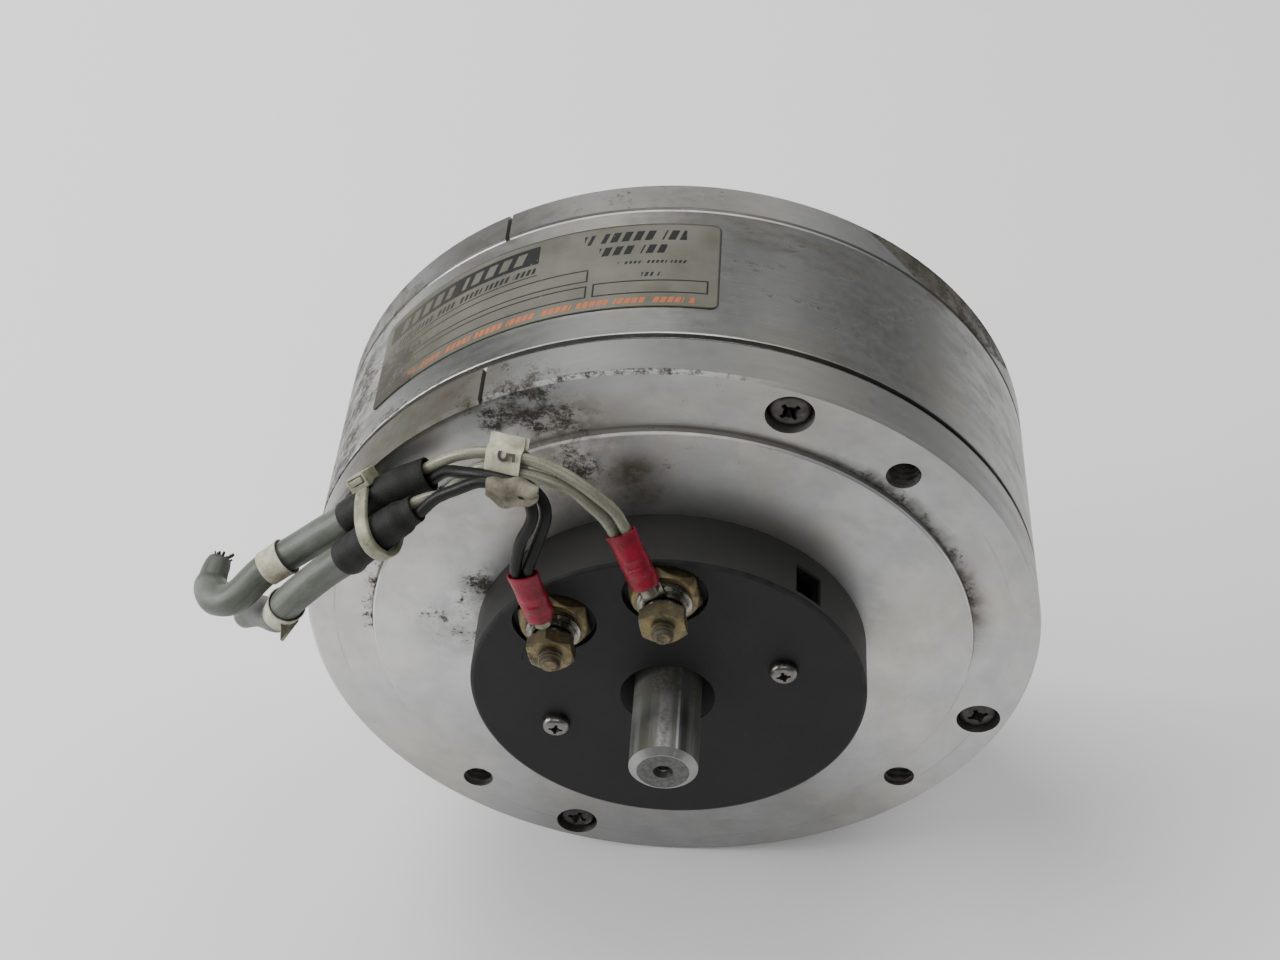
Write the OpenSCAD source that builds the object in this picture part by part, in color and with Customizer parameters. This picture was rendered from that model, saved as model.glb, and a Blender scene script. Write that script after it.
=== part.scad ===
// Flat disc-armature servo motor with a moulded brush cover, two terminal posts and two cut cables.
// Millimetres. The shaft lies along Y and points to -Y, and Z is up. The origin is the centre of
// the mounting face, the flat ring that the tapped holes open into. Angles run from +X towards +Z.

/* [Housing] */
// Outside diameter of both plates and the housing ring
body_d = 139.7; // [136:0.1:180]
// Thickness of the front plate at its rim
front_t = 8.5; // [7.5:0.1:12]
// Length of the housing ring between the two plates
ring_len = 35.4; // [30:0.1:60]
// Thickness of the rear plate at its rim
rear_t = 7.8; // [7:0.1:12]
// Wall of the housing ring
ring_wall = 10.35; // [9.8:0.05:12]
// Width of the groove behind the front plate
joint_w = 1.2; // [0.6:0.1:3]
// Depth of the groove behind the front plate
joint_depth = 1; // [0.4:0.1:2]
// Length of the locating spigot on each plate
spigot_len = 2; // [1:0.1:4]
// Radial thickness of the locating spigots
spigot_wall = 2.4; // [1.5:0.1:3]
// Chamfer on the outer edges of the plates
rim_chamfer = 0.6; // [0.2:0.1:1.2]
// Width of the clocking slots across both rims
slot_w = 0.9; // [0.5:0.1:2]
// Depth of the clocking slots
slot_depth = 1.1; // [0.5:0.1:2]
// Angle of the clocking slots
slot_angle = 118.5; // [100:0.5:130]

/* [Pilot and mounting] */
// Width of the mounting face, from the rim in to the raised pilot
mount_face_w = 12.7; // [12:0.05:19]
// Height of the pilot above the mounting face
pilot_h = 1.6; // [0.8:0.1:3]
// Edge chamfer of the pilot
pilot_chamfer = 0.4; // [0.2:0.1:0.6]
// Distance of the tapped mounting holes from the rim
mount_inset = 7.95; // [6.9:0.05:9.8]
// Diameter of the tapped mounting holes
mount_hole_d = 6.2; // [4:0.1:7]
// Depth of the tapped mounting holes below the mounting face
mount_depth = 7; // [5:0.1:7.2]
// Angle of the first mounting hole
mount_angle = 49.8; // [45:0.1:55]
// Number of mounting holes and of housing screws
plate_holes = 4; // [3:1:6]

/* [Housing screws] */
// Distance of the housing screws from the rim
screw_inset = 5.85; // [5.4:0.05:6.8]
// Angle of the first housing screw
screw_angle = 72.3; // [70:0.1:78]
// Head diameter of the housing screws
screw_head_d = 8; // [7:0.1:8.4]
// Head height of the housing screws
screw_head_h = 2.5; // [1.6:0.1:3]
// Thread diameter of the housing screws
screw_d = 4.1; // [3:0.1:4.8]
// Depth of the counterbores
counterbore_depth = 3.3; // [3.1:0.1:5]
// Wall left at the rear of the blind screw holes
screw_floor = 1.6; // [1:0.1:3]

/* [Brush cover] */
// Outside diameter of the cover
cover_d = 74.3; // [73:0.1:90]
// Height of the cover above the pilot
cover_h = 11.6; // [10:0.1:16]
// Side wall of the cover
cover_wall = 2.4; // [1.6:0.1:4]
// Front wall of the cover
cover_front_t = 2.6; // [2:0.1:4]
// Rounding of the front edge
cover_round = 0.7; // [0.3:0.1:1.2]
// Diameter of the clearance hole round the shaft
cover_hole_d = 17.8; // [16:0.1:22]
// Angle of the first cover screw
cover_screw_angle = 24; // [15:0.5:30]
// Radius at which the cover screws sit
cover_screw_r = 23.2; // [21:0.1:25]
// Head diameter of the cover screws
cover_head_d = 5.3; // [4:0.1:6]
// Head height of the cover screws
cover_head_h = 1.9; // [1.2:0.1:2.5]
// Thread diameter of the cover screws
cover_screw_d = 2.8; // [2:0.1:3]
// Angle of the window in the side wall
window_angle = 48.2; // [40:0.1:56]
// Width of the window
window_w = 6.2; // [4:0.1:8]
// Height of the window along the shaft axis
window_h = 6.5; // [4:0.1:7]
// Lip of the front wall over the window
window_lip = 1.4; // [0.8:0.1:2]

/* [Brush gear] */
// Number of magnet poles, which sets the angle between the brushes
poles = 8; // [8:2:10]
// Angle of the first brush
brush_angle = 91.5; // [85:0.5:95]
// Radius at which the brushes run on the armature
brush_r = 28.5; // [28:0.1:29.5]
// Diameter of a carbon brush
brush_d = 6.6; // [5:0.1:7]
// Length of a carbon brush
brush_len = 10; // [8:0.1:12]
// Outside diameter of a brush holder tube
holder_d = 10.4; // [9.6:0.1:11]
// Recess round each brush cap
recess_d = 15.4; // [14.8:0.1:16]
// Depth of that recess
recess_depth = 1.6; // [1:0.1:2]
// Wire diameter of the brush springs
spring_wire = 0.8; // [0.5:0.1:1.2]

/* [Terminals] */
// Width of the brush caps across flats
cap_af = 12.4; // [11:0.1:12.7]
// Thickness of the brush caps
cap_t = 2.8; // [2:0.1:4]
// Diameter of the terminal studs
stud_d = 4; // [3:0.1:4.4]
// Height of the stud tips above the cover
stud_h = 10.2; // [9.6:0.1:14]
// Width of the terminal nuts across flats
nut_af = 8; // [7.2:0.1:9]
// Thickness of the terminal nuts
nut_t = 2.8; // [2:0.1:3.4]
// Outside diameter of the wide washers
washer_d = 9.8; // [9:0.1:11]
// Thickness of the wide washers
washer_t = 1; // [0.6:0.1:1.2]
// Outside diameter of the narrow washers
small_washer_d = 8.8; // [8:0.1:9.5]
// Thickness of the narrow washers
small_washer_t = 0.8; // [0.5:0.1:1]
// Outside diameter of the split lock washers
lock_d = 7.4; // [6.8:0.1:8]
// Thickness of the split lock washers
lock_t = 1.2; // [0.8:0.1:1.4]
// Outside diameter of the ring on a crimp terminal
tongue_d = 7.8; // [7:0.1:8.6]
// Thickness of a crimp terminal
tongue_t = 0.8; // [0.6:0.1:1]
// Distance from the stud to the terminal's sleeve
neck_len = 7; // [6:0.1:8]
// Length of the insulating sleeve
sleeve_len = 12; // [10:0.1:14]
// Width of the crimped sleeve
sleeve_w = 5.6; // [5:0.1:6.4]
// Thickness of the crimped sleeve
sleeve_t = 4.2; // [4:0.1:5]

/* [Shaft and bearings] */
// Diameter of the output shaft
shaft_d = 12.7; // [12:0.05:12.9]
// Length of the shaft ahead of the mounting face
shaft_len = 30.65; // [20:0.05:60]
// Radial chamfer at the shaft tip
shaft_chamfer = 1.4; // [0.5:0.1:2]
// Diameter of the centre hole in the shaft tip
centre_d = 3.6; // [2:0.1:5]
// Depth of the centre hole
centre_depth = 4.6; // [3:0.1:8]
// Diameter of the shaft between the bearings
shaft_mid_d = 16; // [15.2:0.1:17]
// Diameter of the rear journal
rear_journal_d = 9.525; // [9:0.005:10]
// Outside diameter of the front bearing
front_brg_d = 28.575; // [28:0.005:30]
// Width of the front bearing
front_brg_w = 7.94; // [7:0.01:8]
// Width of the retaining ring grooves on both sides of the front bearing
groove_w = 1.1; // [0.8:0.1:1.2]
// Ball diameter of the front bearing
front_ball_d = 4.76; // [4:0.01:5]
// Balls in the front bearing
front_balls = 8; // [6:1:9]
// Outside diameter of the rear bearing
rear_brg_d = 22.225; // [22:0.005:24]
// Width of the rear bearing
rear_brg_w = 7.14; // [6:0.01:7.5]
// Ball diameter of the rear bearing
rear_ball_d = 3.97; // [3.2:0.01:4.2]
// Balls in the rear bearing
rear_balls = 8; // [6:1:8]
// Space for the wave washer behind the rear bearing
preload_h = 1.1; // [0.8:0.1:1.6]

/* [Armature and magnets] */
// Thickness of the armature disc
armature_t = 2; // [1:0.1:3]
// Air gap on each side of the armature disc
air_gap = 1.2; // [0.6:0.1:2]
// Gap between the armature's edge and the housing ring
armature_edge_gap = 4.5; // [3.8:0.1:6]
// Thickness of the front flux ring
front_flux_t = 5.5; // [5:0.1:6]
// Thickness of the rear flux plate
rear_flux_t = 7; // [5:0.1:9]
// Diameter of the round magnets
magnet_d = 25.4; // [20:0.1:27]
// Diameter of the armature hub's sleeve
hub_d = 24; // [22:0.1:26]
// Diameter of the hub flange and of the clamp ring
flange_d = 40; // [38:0.1:42]
// Thickness of the hub flange
flange_t = 3.5; // [2.5:0.1:5]
// Thickness of the clamp ring
clamp_t = 2.5; // [2:0.1:2.8]
// Thread diameter of the clamp screws
clamp_screw_d = 3; // [2:0.1:3.2]
// Number of clamp screws
clamp_screws_n = 6; // [4:1:8]

/* [Cables] */
// Diameter of a conductor over its insulation
lead_d = 2.1; // [1.6:0.1:2.4]
// Diameter of a cable jacket
cable_d = 6.4; // [5.6:0.1:6.6]
// Diameter of the shrink sleeves over the cable ends
shrink_d = 7; // [6.8:0.1:7]
// Width of the cable tie
tie_w = 2.6; // [2.5:0.1:4.8]
// Thickness of the cable tie
tie_t = 1; // [0.8:0.1:1.1]
// Width of the cable tie's head
tie_head_w = 4.6; // [3:0.1:6]
// Height of the cable tie's head
tie_head_h = 2.8; // [2:0.1:5]
// Length of the marker bands on the jackets
band_len = 4.6; // [3:0.1:6]
// Thickness of the cloth that the markers on the conductors are made of
flag_t = 0.3; // [0.2:0.05:0.5]
// Length along the conductors of the pale pair's marker
flag_len = 6.2; // [4:0.1:9]
// Height of that marker's tab
flag_tab = 2.4; // [2:0.1:8]
// Length along the conductors of the black pair's marker
folded_len = 6.4; // [4:0.1:9]
// Height of that marker's tab
folded_tab = 3; // [2:0.1:6]

/* [Hidden] */
$fn = 96;

// Clearances, walls and stations that follow from the sizes above
fit = 0.02;
loose = 0.2;
gap = 0.3;
mouth = 0.3;
over = 1;
magnet_edge = 1;
flux_edge = 1;
holder_clear = 1.5;
holder_set_back = 2;
brush_seat = 0.1;
plug_len = 3;
hub_step = 0.5;
body_r = body_d / 2;
pilot_d = body_d - 2 * mount_face_w;
mount_pcd = body_d - 2 * mount_inset;
screw_pcd = body_d - 2 * screw_inset;
cavity_r = body_r - ring_wall;
ring_y1 = front_t + ring_len;
back_y = ring_y1 + rear_t;
cover_y = -pilot_h - cover_h;
recess_y = cover_y + recess_depth;
pole_angle = 360 / poles;
stud_angles = [brush_angle, brush_angle + pole_angle];
flux_y1 = front_t + front_flux_t;
armature_y0 = flux_y1 + air_gap;
armature_y1 = armature_y0 + armature_t;
magnet_y0 = armature_y1 + air_gap;
magnet_y1 = ring_y1 - rear_flux_t;
armature_r = cavity_r - armature_edge_gap;
magnet_r = armature_r - magnet_d / 2 - magnet_edge;
flux_ri = brush_r + holder_d / 2 + holder_clear;
flux_ro = armature_r + flux_edge;
spigot_ro = cavity_r - fit;
spigot_ri = spigot_ro - spigot_wall;
boss_wall = 3.8;
rear_skin = 1.5;
race_lip = 3.6;
front_boss_r = front_brg_d / 2 + boss_wall;
rear_boss_r = rear_brg_d / 2 + boss_wall;
front_brg_y0 = 1.5;
ring_groove_y = front_brg_y0 - groove_w;
ring_groove_depth = 0.4;
ring_reach = 1.6;
front_brg_y1 = front_brg_y0 + front_brg_w;
front_boss_y = front_brg_y1 + 2 * groove_w;
pocket_y = back_y - rear_skin;
rear_brg_y1 = pocket_y - preload_h;
rear_brg_y0 = rear_brg_y1 - rear_brg_w;
front_lip_r = front_brg_d / 2 - race_lip;
front_ball_r = (shaft_d + front_brg_d) / 4;
rear_ball_r = (rear_journal_d + rear_brg_d) / 4;
brush_y1 = armature_y0 - brush_seat;
brush_y0 = brush_y1 - brush_len;
holder_bore = brush_d + 2 * loose;
holder_y1 = armature_y0 - holder_set_back;
plug_y = recess_y + plug_len;
cap_y = recess_y - cap_t;
washer_y = cap_y - washer_t;
small_washer_y = washer_y - small_washer_t;
tongue_y = small_washer_y - tongue_t;
lock_y = tongue_y - lock_t;
nut_y = lock_y - nut_t;
stud_y = cover_y - stud_h;
stud_hole_d = stud_d + 2 * loose;
clamp_screw_r = (hub_d + flange_d) / 4;
clamp_y0 = armature_y0 - clamp_t;
hub_y0 = clamp_y0 + hub_step;
hub_y1 = (armature_y1 + flange_t + rear_brg_y0) / 2;

// Where each crimp terminal points, how far its barrel is bent back, and the barrel's size
tongue_angles = [116, 104.5];
tongue_tilts = [18, 1];
neck_w = 4.4;
neck_bend = 4.2;
barrel_d = 3.4;
barrel_len = 6;
barrel_rise = 1.2;

// Cable ends: middle of each shrink sleeve's face towards the terminals, and its other end
upper_in = [-42.5, -5, 48];
upper_out = [-57, -5, 36.5];
lower_in = [-44, -12, 46.5];
lower_out = [-57, -12, 33.5];

// Routes chosen by hand, from each terminal sleeve to its shrink sleeve, ends left out
pale_upper_route = [[-9.5, -12.5, 48.5], [-12, -12, 51], [-15.5, -11, 53.5], [-19.5, -9.5, 55],
    [-24, -8, 55.5], [-28.5, -7, 55.5], [-33, -6, 55], [-37, -5.5, 53.5], [-40, -5, 51.5]];
pale_lower_route = [[-11.5, -12.5, 47], [-13.5, -12, 49], [-16.5, -11, 51.5], [-20, -10.5, 53],
    [-24, -9.5, 53.5], [-28.5, -8.5, 53.5], [-32.5, -7.5, 53], [-36, -7.5, 50], [-39, -9.5, 48],
    [-41.5, -10.5, 48]];
black_upper_route = [[-23.5, -17, 41], [-22, -16, 45.5], [-21, -15.5, 49.5], [-21.5, -14.5, 52.5],
    [-24, -13.5, 55], [-27.5, -12.5, 55], [-31.5, -11, 54.5], [-35.5, -9, 53], [-39, -6.5, 50.5]];
black_lower_route = [[-26, -17.5, 41.5], [-25, -17.5, 46], [-23.5, -17.5, 49.5], [-23, -17, 52.5],
    [-24.5, -16, 55.5], [-28, -15, 56], [-32, -13.5, 55.5], [-36, -13, 53], [-40, -12.5, 50]];
cable_upper_route = [[-62.5, -5, 32], [-66.5, -5, 28.5], [-74, -7, 23.5], [-78.5, -10, 20],
    [-81.5, -10, 18], [-84, -8, 16.5], [-86, -4, 14.5], [-86, -1, 15], [-85.5, 2, 15.5]];
cable_lower_route = [[-61, -12.2, 30], [-65, -12.5, 26], [-69, -12.8, 21.5], [-71.5, -11.5, 16],
    [-75, -7.5, 12], [-78, -4.5, 9], [-81, -2.5, 5.5]];

function unit(v) = v / norm(v);
function polar(a, r, y) = [r * cos(a), y, r * sin(a)];
function stud_at(i, y) = polar(stud_angles[i], brush_r, y);

// Point on crimp terminal i: along its sleeve from the near face, and sideways from its middle
function sleeve_dir(i) = let (a = tongue_angles[i], t = tongue_tilts[i])
    [cos(a) * cos(t), sin(t), sin(a) * cos(t)];
function sleeve_side(i) = let (a = tongue_angles[i]) [sin(a), 0, -cos(a)];
function sleeve_start_y(i) = tongue_y + tongue_t / 2 - barrel_rise
    + (neck_len - neck_bend) * tan(tongue_tilts[i]);
function sleeve_point(i, along, side) = stud_at(i, sleeve_start_y(i))
    + polar(tongue_angles[i], neck_len, 0) + along * sleeve_dir(i) + side * sleeve_side(i);

// Unit vector across a shrink sleeve, from its black conductor to its pale one
function across(d) = unit([d[2], 1, -d[0]]);
upper_dir = unit(upper_out - upper_in);
lower_dir = unit(lower_out - lower_in);
lead_gap = lead_d / 2 + 0.05;
flag_slack = 0.9;
flag_point = 5;
tie_slack = 0.8;
tie_at = 0.72;
tie_slant = 1.2;
band_t = 0.4;

// Share of the ball diameter from the ball circle to the races' lands, and the shields' thickness
land = 0.3;
shield_t = 0.4;

// Coils of the brush springs, and the shape of the wave washer
spring_turns = 6;
spring_steps = 10;
spring_count = spring_turns * spring_steps;
wave_t = 0.4;
wave_steps = 48;
waves = 3;
wave_ro = rear_brg_d / 2 - loose;
wave_ri = rear_ball_r + rear_ball_d * land;

// Turn of each small piece about its own axis, as they happened to be tightened
recess_angle = 20;
cap_angle = 10;
nut_angle = -20;
lock_angle = 35;

// Screw hole ends, stud and journal chamfers, and how far a crimp reaches back from its sleeve
hole_floor = 1.5;
tip_chamfer = 0.5;
crimp_reach = 1.4;
lock_cut = 0.8;
cover_screw_y1 = front_t - hole_floor - tip_chamfer;

// Basic solids along the shaft axis
module rod(y0, y1, d) translate([0, y0, 0]) rotate([-90, 0, 0]) cylinder(h = y1 - y0, d = d);
module tube(y0, y1, d, bore) difference() {
    rod(y0, y1, d);
    rod(y0 - over, y1 + over, bore);
}
module turned() rotate([-90, 0, 0]) rotate_extrude() children();
module at_polar(a, r) rotate([0, -a, 0]) translate([r, 0, 0]) rotate([0, a, 0]) children();
module around(n, a0, r) for (i = [0 : n - 1]) at_polar(a0 + i * 360 / n, r) children();
module at_studs() for (i = [0 : 1]) at_polar(stud_angles[i], brush_r) children();

// A cylinder from point a to point b
module bar(a, b, d) {
    v = b - a;
    translate(a) rotate([0, acos(v[2] / norm(v)), atan2(v[1], v[0])]) cylinder(h = norm(v), d = d);
}

// A tube swept along points, its end faces square to the two given directions
function middles(p) = [for (i = [1 : len(p) - 2]) unit(p[i + 1] - p[i - 1])];
function turned_on(u, t) = unit(u - (u * t) * t);
module swept(p, d, sides, first, last) {
    tangents = concat([first], middles(p), [last]);
    count = len(p);
    frames = [for (i = 0, u = turned_on([0.3, 1, 0.2], first); i < count;
        i = i + 1, u = i < count ? turned_on(u, tangents[i]) : u) [u, cross(tangents[i], u)]];
    rings = [for (i = [0 : count - 1]) for (k = [0 : sides - 1]) let (a = k * 360 / sides)
        p[i] + d / 2 * (cos(a) * frames[i][0] + sin(a) * frames[i][1])];
    skin = [for (i = [0 : count - 2]) for (k = [0 : sides - 1])
        let (n = (k + 1) % sides, b = i * sides)
        for (face = [[b + k, b + sides + k, b + n], [b + n, b + sides + k, b + sides + n]]) face];
    start_cap = [for (k = [0 : sides - 1]) k];
    end_cap = [for (k = [sides - 1 : -1 : 0]) (count - 1) * sides + k];
    polyhedron(points = rings, faces = concat(skin, [start_cap, end_cap]), convexity = 4);
}

// Moves children to point o, their Z turned along z and their Y as near to y as that allows
module aligned(o, y, z) {
    w = unit(z);
    u = unit(cross(y, w));
    v = cross(w, u);
    multmatrix([[u[0], v[0], w[0], o[0]], [u[1], v[1], w[1], o[1]], [u[2], v[2], w[2], o[2]]]) children();
}

// Head of a pan-head screw with a cross recess, its seat at y = 0 and its dome towards -Y
module pan_head(d, h) difference() {
    turned() polygon([[0, 0], [d / 2, 0], [d / 2, -h * 0.45], [d * 0.44, -h * 0.75],
        [d * 0.3, -h * 0.95], [0, -h]]);
    for (a = [0, 90]) rotate([0, recess_angle + a, 0]) translate([0, -h * 0.7 - over / 2, 0])
        cube([d * 0.58, over + h * 0.6, d * 0.12], center = true);
}

// Hexagon nut or cap from y0 to y1 with its front corners chamfered, one corner at angle a
module hexagon(y0, y1, af, a) intersection() {
    translate([0, y0, 0]) rotate([-90, 0, 0]) rotate([0, 0, -a])
        cylinder(h = y1 - y0, d = af / cos(30), $fn = 6);
    turned() polygon([[0, y0], [af * 0.48, y0], [af * 0.6, y0 + af * 0.07], [af * 0.6, y1], [0, y1]]);
}

module washer(y0, t, d, bore) tube(y0, y0 + t, d, bore);

// Clocking slot across a rim from y0 to y1
module clocking_slot(y0, y1) rotate([0, -slot_angle, 0])
    translate([body_r - slot_depth, y0, -slot_w / 2]) cube([slot_depth + over, y1 - y0, slot_w]);

module front_plate() color("silver") difference() {
    turned() polygon([[0, -pilot_h], [pilot_d / 2 - pilot_chamfer, -pilot_h],
        [pilot_d / 2, -pilot_h + pilot_chamfer], [pilot_d / 2, 0], [body_r - rim_chamfer, 0],
        [body_r, rim_chamfer], [body_r, front_t], [spigot_ro, front_t],
        [spigot_ro, front_t + spigot_len], [spigot_ri, front_t + spigot_len],
        [spigot_ri, front_t], [front_boss_r, front_t], [front_boss_r, front_boss_y],
        [0, front_boss_y]]);
    rod(-pilot_h - over, front_brg_y0 + over, 2 * front_lip_r);
    rod(front_brg_y0, front_boss_y + over, front_brg_d + 2 * fit);
    rod(front_brg_y1, front_brg_y1 + groove_w, front_brg_d + 2 * (fit + ring_groove_depth));
    around(plate_holes, mount_angle, mount_pcd / 2) turned() polygon([[0, -over],
        [mount_hole_d / 2 + mouth + over, -over], [mount_hole_d / 2 + mouth, 0],
        [mount_hole_d / 2, mouth], [mount_hole_d / 2, mount_depth], [0, mount_depth + mount_hole_d / 4]]);
    around(plate_holes, screw_angle, screw_pcd / 2) {
        rod(-over - pilot_h, counterbore_depth, screw_head_d + 3 * loose);
        rod(-over, front_t + spigot_len + over, screw_d + 2 * loose);
    }
    at_studs() rod(-pilot_h - over, front_t + over, holder_d + 2 * fit);
    around(2, cover_screw_angle, cover_screw_r)
        rod(-pilot_h - over, front_t - hole_floor, cover_screw_d + 2 * fit);
    clocking_slot(-over, front_t);
}

module housing_ring() color("gray") difference() {
    turned() polygon([[cavity_r, front_t], [body_r - joint_depth, front_t],
        [body_r - joint_depth, front_t + joint_w], [body_r, front_t + joint_w],
        [body_r, ring_y1 - rim_chamfer], [body_r - rim_chamfer, ring_y1], [cavity_r, ring_y1]]);
    around(plate_holes, screw_angle, screw_pcd / 2) rod(front_t - over, ring_y1 + over,
        screw_d + 2 * loose);
}

module rear_plate() color("gray") difference() {
    turned() polygon([[0, back_y], [body_r - rim_chamfer, back_y], [body_r, back_y - rim_chamfer],
        [body_r, ring_y1 + rim_chamfer], [body_r - rim_chamfer, ring_y1], [spigot_ro, ring_y1],
        [spigot_ro, ring_y1 - spigot_len], [spigot_ri, ring_y1 - spigot_len], [spigot_ri, ring_y1],
        [rear_boss_r, ring_y1], [rear_boss_r, rear_brg_y0 - loose], [0, rear_brg_y0 - loose]]);
    rod(rear_brg_y0 - over, pocket_y, rear_brg_d + 2 * fit);
    around(plate_holes, screw_angle, screw_pcd / 2) rod(ring_y1 - spigot_len - over,
        back_y - screw_floor, screw_d + 2 * fit);
    clocking_slot(ring_y1, back_y + over);
}

module front_flux_ring() color("dimgray") tube(front_t, flux_y1, 2 * flux_ro, 2 * flux_ri);

module rear_flux_plate() color("dimgray")
    tube(magnet_y1, ring_y1, 2 * flux_ro, 2 * (rear_boss_r + gap));

module magnets() color("darkgray") around(poles, brush_angle, magnet_r)
    rod(magnet_y0, magnet_y1, magnet_d);

module housing_screws() color("silver") around(plate_holes, screw_angle, screw_pcd / 2) {
    translate([0, counterbore_depth, 0]) pan_head(screw_head_d, screw_head_h);
    rod(counterbore_depth, back_y - screw_floor - gap, screw_d);
}

// Moulded cup with a collar round the shaft, pillars for the screws and sockets for the holders
module brush_cover() color([0.12, 0.12, 0.12]) difference() {
    intersection() {
        turned() polygon([[0, -pilot_h], [cover_d / 2, -pilot_h], [cover_d / 2, cover_y + cover_round],
            [cover_d / 2 - cover_round * 0.3, cover_y + cover_round * 0.3],
            [cover_d / 2 - cover_round, cover_y], [0, cover_y]]);
        union() {
            rod(cover_y - over, cover_y + cover_front_t, cover_d + over);
            tube(cover_y, 0, cover_d + over, cover_d - 2 * cover_wall);
            rod(cover_y, 0, cover_hole_d + 2 * cover_wall);
            around(2, cover_screw_angle, cover_screw_r) rod(cover_y, 0, cover_screw_d + 2 * cover_wall);
            at_studs() rod(cover_y, 0, holder_d + 2 * cover_wall);
            at_studs() rod(cover_y, recess_y + cover_wall, recess_d + 2 * cover_wall);
        }
    }
    rod(cover_y - over, over, cover_hole_d);
    around(2, cover_screw_angle, cover_screw_r) rod(cover_y - over, over, cover_screw_d + 2 * loose);
    at_studs() {
        rod(cover_y - over, recess_y, recess_d);
        rod(cover_y - over, over, holder_d + 2 * fit);
    }
    rotate([0, -window_angle, 0]) translate([cover_d / 2 - cover_wall - over, cover_y + window_lip,
        -window_w / 2]) cube([cover_wall + 2 * over, window_h, window_w]);
}

module cover_screws() color("silver") around(2, cover_screw_angle, cover_screw_r) {
    translate([0, cover_y, 0]) pan_head(cover_head_d, cover_head_h);
    rod(cover_y, cover_screw_y1, cover_screw_d);
}

module brush_holders() color("saddlebrown") at_studs() tube(recess_y, holder_y1, holder_d, holder_bore);

module brush_caps() color("darkgoldenrod") for (i = [0 : 1]) at_polar(stud_angles[i], brush_r) {
    hexagon(cap_y, recess_y, cap_af, cap_angle);
    rod(recess_y, plug_y, holder_bore - 2 * fit);
    turned() polygon([[0, stud_y], [stud_d / 2 - tip_chamfer, stud_y],
        [stud_d / 2, stud_y + tip_chamfer], [stud_d / 2, cap_y], [0, cap_y]]);
}

// Compression spring between the cap's plug and the brush, its coils a helix with closed ends
function spring_point(k, y0, y1, r) = polar(k * 360 / spring_steps, r,
    y0 + (y1 - y0) * k / spring_count);
module brush_springs() color("dimgray") at_studs() {
    r = (brush_d - spring_wire) / 2 - loose;
    points = [for (k = [0 : spring_count]) spring_point(k, plug_y + spring_wire / 2 + fit,
        brush_y0 - spring_wire / 2 - fit, r)];
    swept(points, spring_wire, 6, unit(points[1] - points[0]),
        unit(points[spring_count] - points[spring_count - 1]));
}

module brushes() color([0.15, 0.15, 0.16]) at_studs() rod(brush_y0, brush_y1, brush_d);

module terminal_washers() color("darkgoldenrod") at_studs() {
    washer(washer_y, washer_t, washer_d, stud_hole_d);
    washer(small_washer_y, small_washer_t, small_washer_d, stud_hole_d);
}

// Places children at the near face of crimp terminal i, their +X along its barrel
module at_sleeve(i) translate(stud_at(i, sleeve_start_y(i))) rotate([0, -tongue_angles[i], 0])
    translate([neck_len, 0, 0]) rotate([0, 0, tongue_tilts[i]]) children();

module ring_terminals() color("lightgray") for (i = [0 : 1]) {
    difference() {
        union() {
            at_polar(stud_angles[i], brush_r) rod(tongue_y, tongue_y + tongue_t, tongue_d);
            translate(stud_at(i, tongue_y)) rotate([0, -tongue_angles[i], 0])
                translate([0, 0, -neck_w / 2]) cube([neck_bend, tongue_t, neck_w]);
        }
        at_polar(stud_angles[i], brush_r) rod(tongue_y - over, tongue_y + tongue_t + over, stud_hole_d);
    }
    translate(stud_at(i, tongue_y)) rotate([0, -tongue_angles[i], 0]) translate([neck_bend, 0, 0])
        rotate([0, 0, tongue_tilts[i]]) translate([-tongue_t / 2, 0, -neck_w / 2])
        cube([neck_len - neck_bend, tongue_t, neck_w]);
    at_sleeve(i) translate([-crimp_reach, 0, 0]) rotate([0, 90, 0])
        cylinder(h = barrel_len + crimp_reach, d = barrel_d);
}

// Flattened insulating sleeve of a crimp terminal
module oval(w, t) {
    for (s = [-1, 1]) translate([0, s * (w - t) / 2]) circle(d = t);
    square([t, w - t], center = true);
}
module terminal_sleeves() color([0.6, 0.12, 0.2]) for (i = [0 : 1]) at_sleeve(i) difference() {
    rotate([90, 0, 90]) linear_extrude(height = sleeve_len) oval(sleeve_w, sleeve_t);
    translate([-over, 0, 0]) rotate([0, 90, 0])
        cylinder(h = barrel_len + over + fit, d = barrel_d + 2 * fit);
}

module lock_washers() color("whitesmoke") at_studs() difference() {
    washer(lock_y, lock_t, lock_d, stud_hole_d);
    rotate([0, lock_angle, 0]) translate([0, lock_y - over, -lock_cut / 2])
        cube([lock_d, lock_t + 2 * over, lock_cut]);
}

module terminal_nuts() color("darkgoldenrod") at_studs() difference() {
    hexagon(nut_y, lock_y, nut_af, nut_angle);
    rod(nut_y - over, lock_y + over, stud_d + 2 * fit);
}

// Deep-groove ball bearing parts: y0 front face, w width, r radius of the ball circle
module race(y0, w, ri, ro, r, ball_d) difference() {
    tube(y0, y0 + w, 2 * ro, 2 * ri);
    translate([0, y0 + w / 2, 0]) turned() translate([r, 0]) circle(d = ball_d + 2 * fit, $fn = 48);
}
module outer_race(y0, w, d, r, ball_d) race(y0, w, r + ball_d * land, d / 2, r, ball_d);
module inner_race(y0, w, bore, r, ball_d) race(y0, w, bore / 2, r - ball_d * land, r, ball_d);
module ball_set(y0, w, r, ball_d, n) around(n, 0, r) translate([0, y0 + w / 2, 0])
    sphere(d = ball_d, $fn = 32);
module shield_pair(y0, w, r, ball_d) for (y = [y0 + gap, y0 + w - gap - shield_t])
    washer(y, shield_t, 2 * (r + ball_d * land), 2 * (r - ball_d * land + gap));

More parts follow.
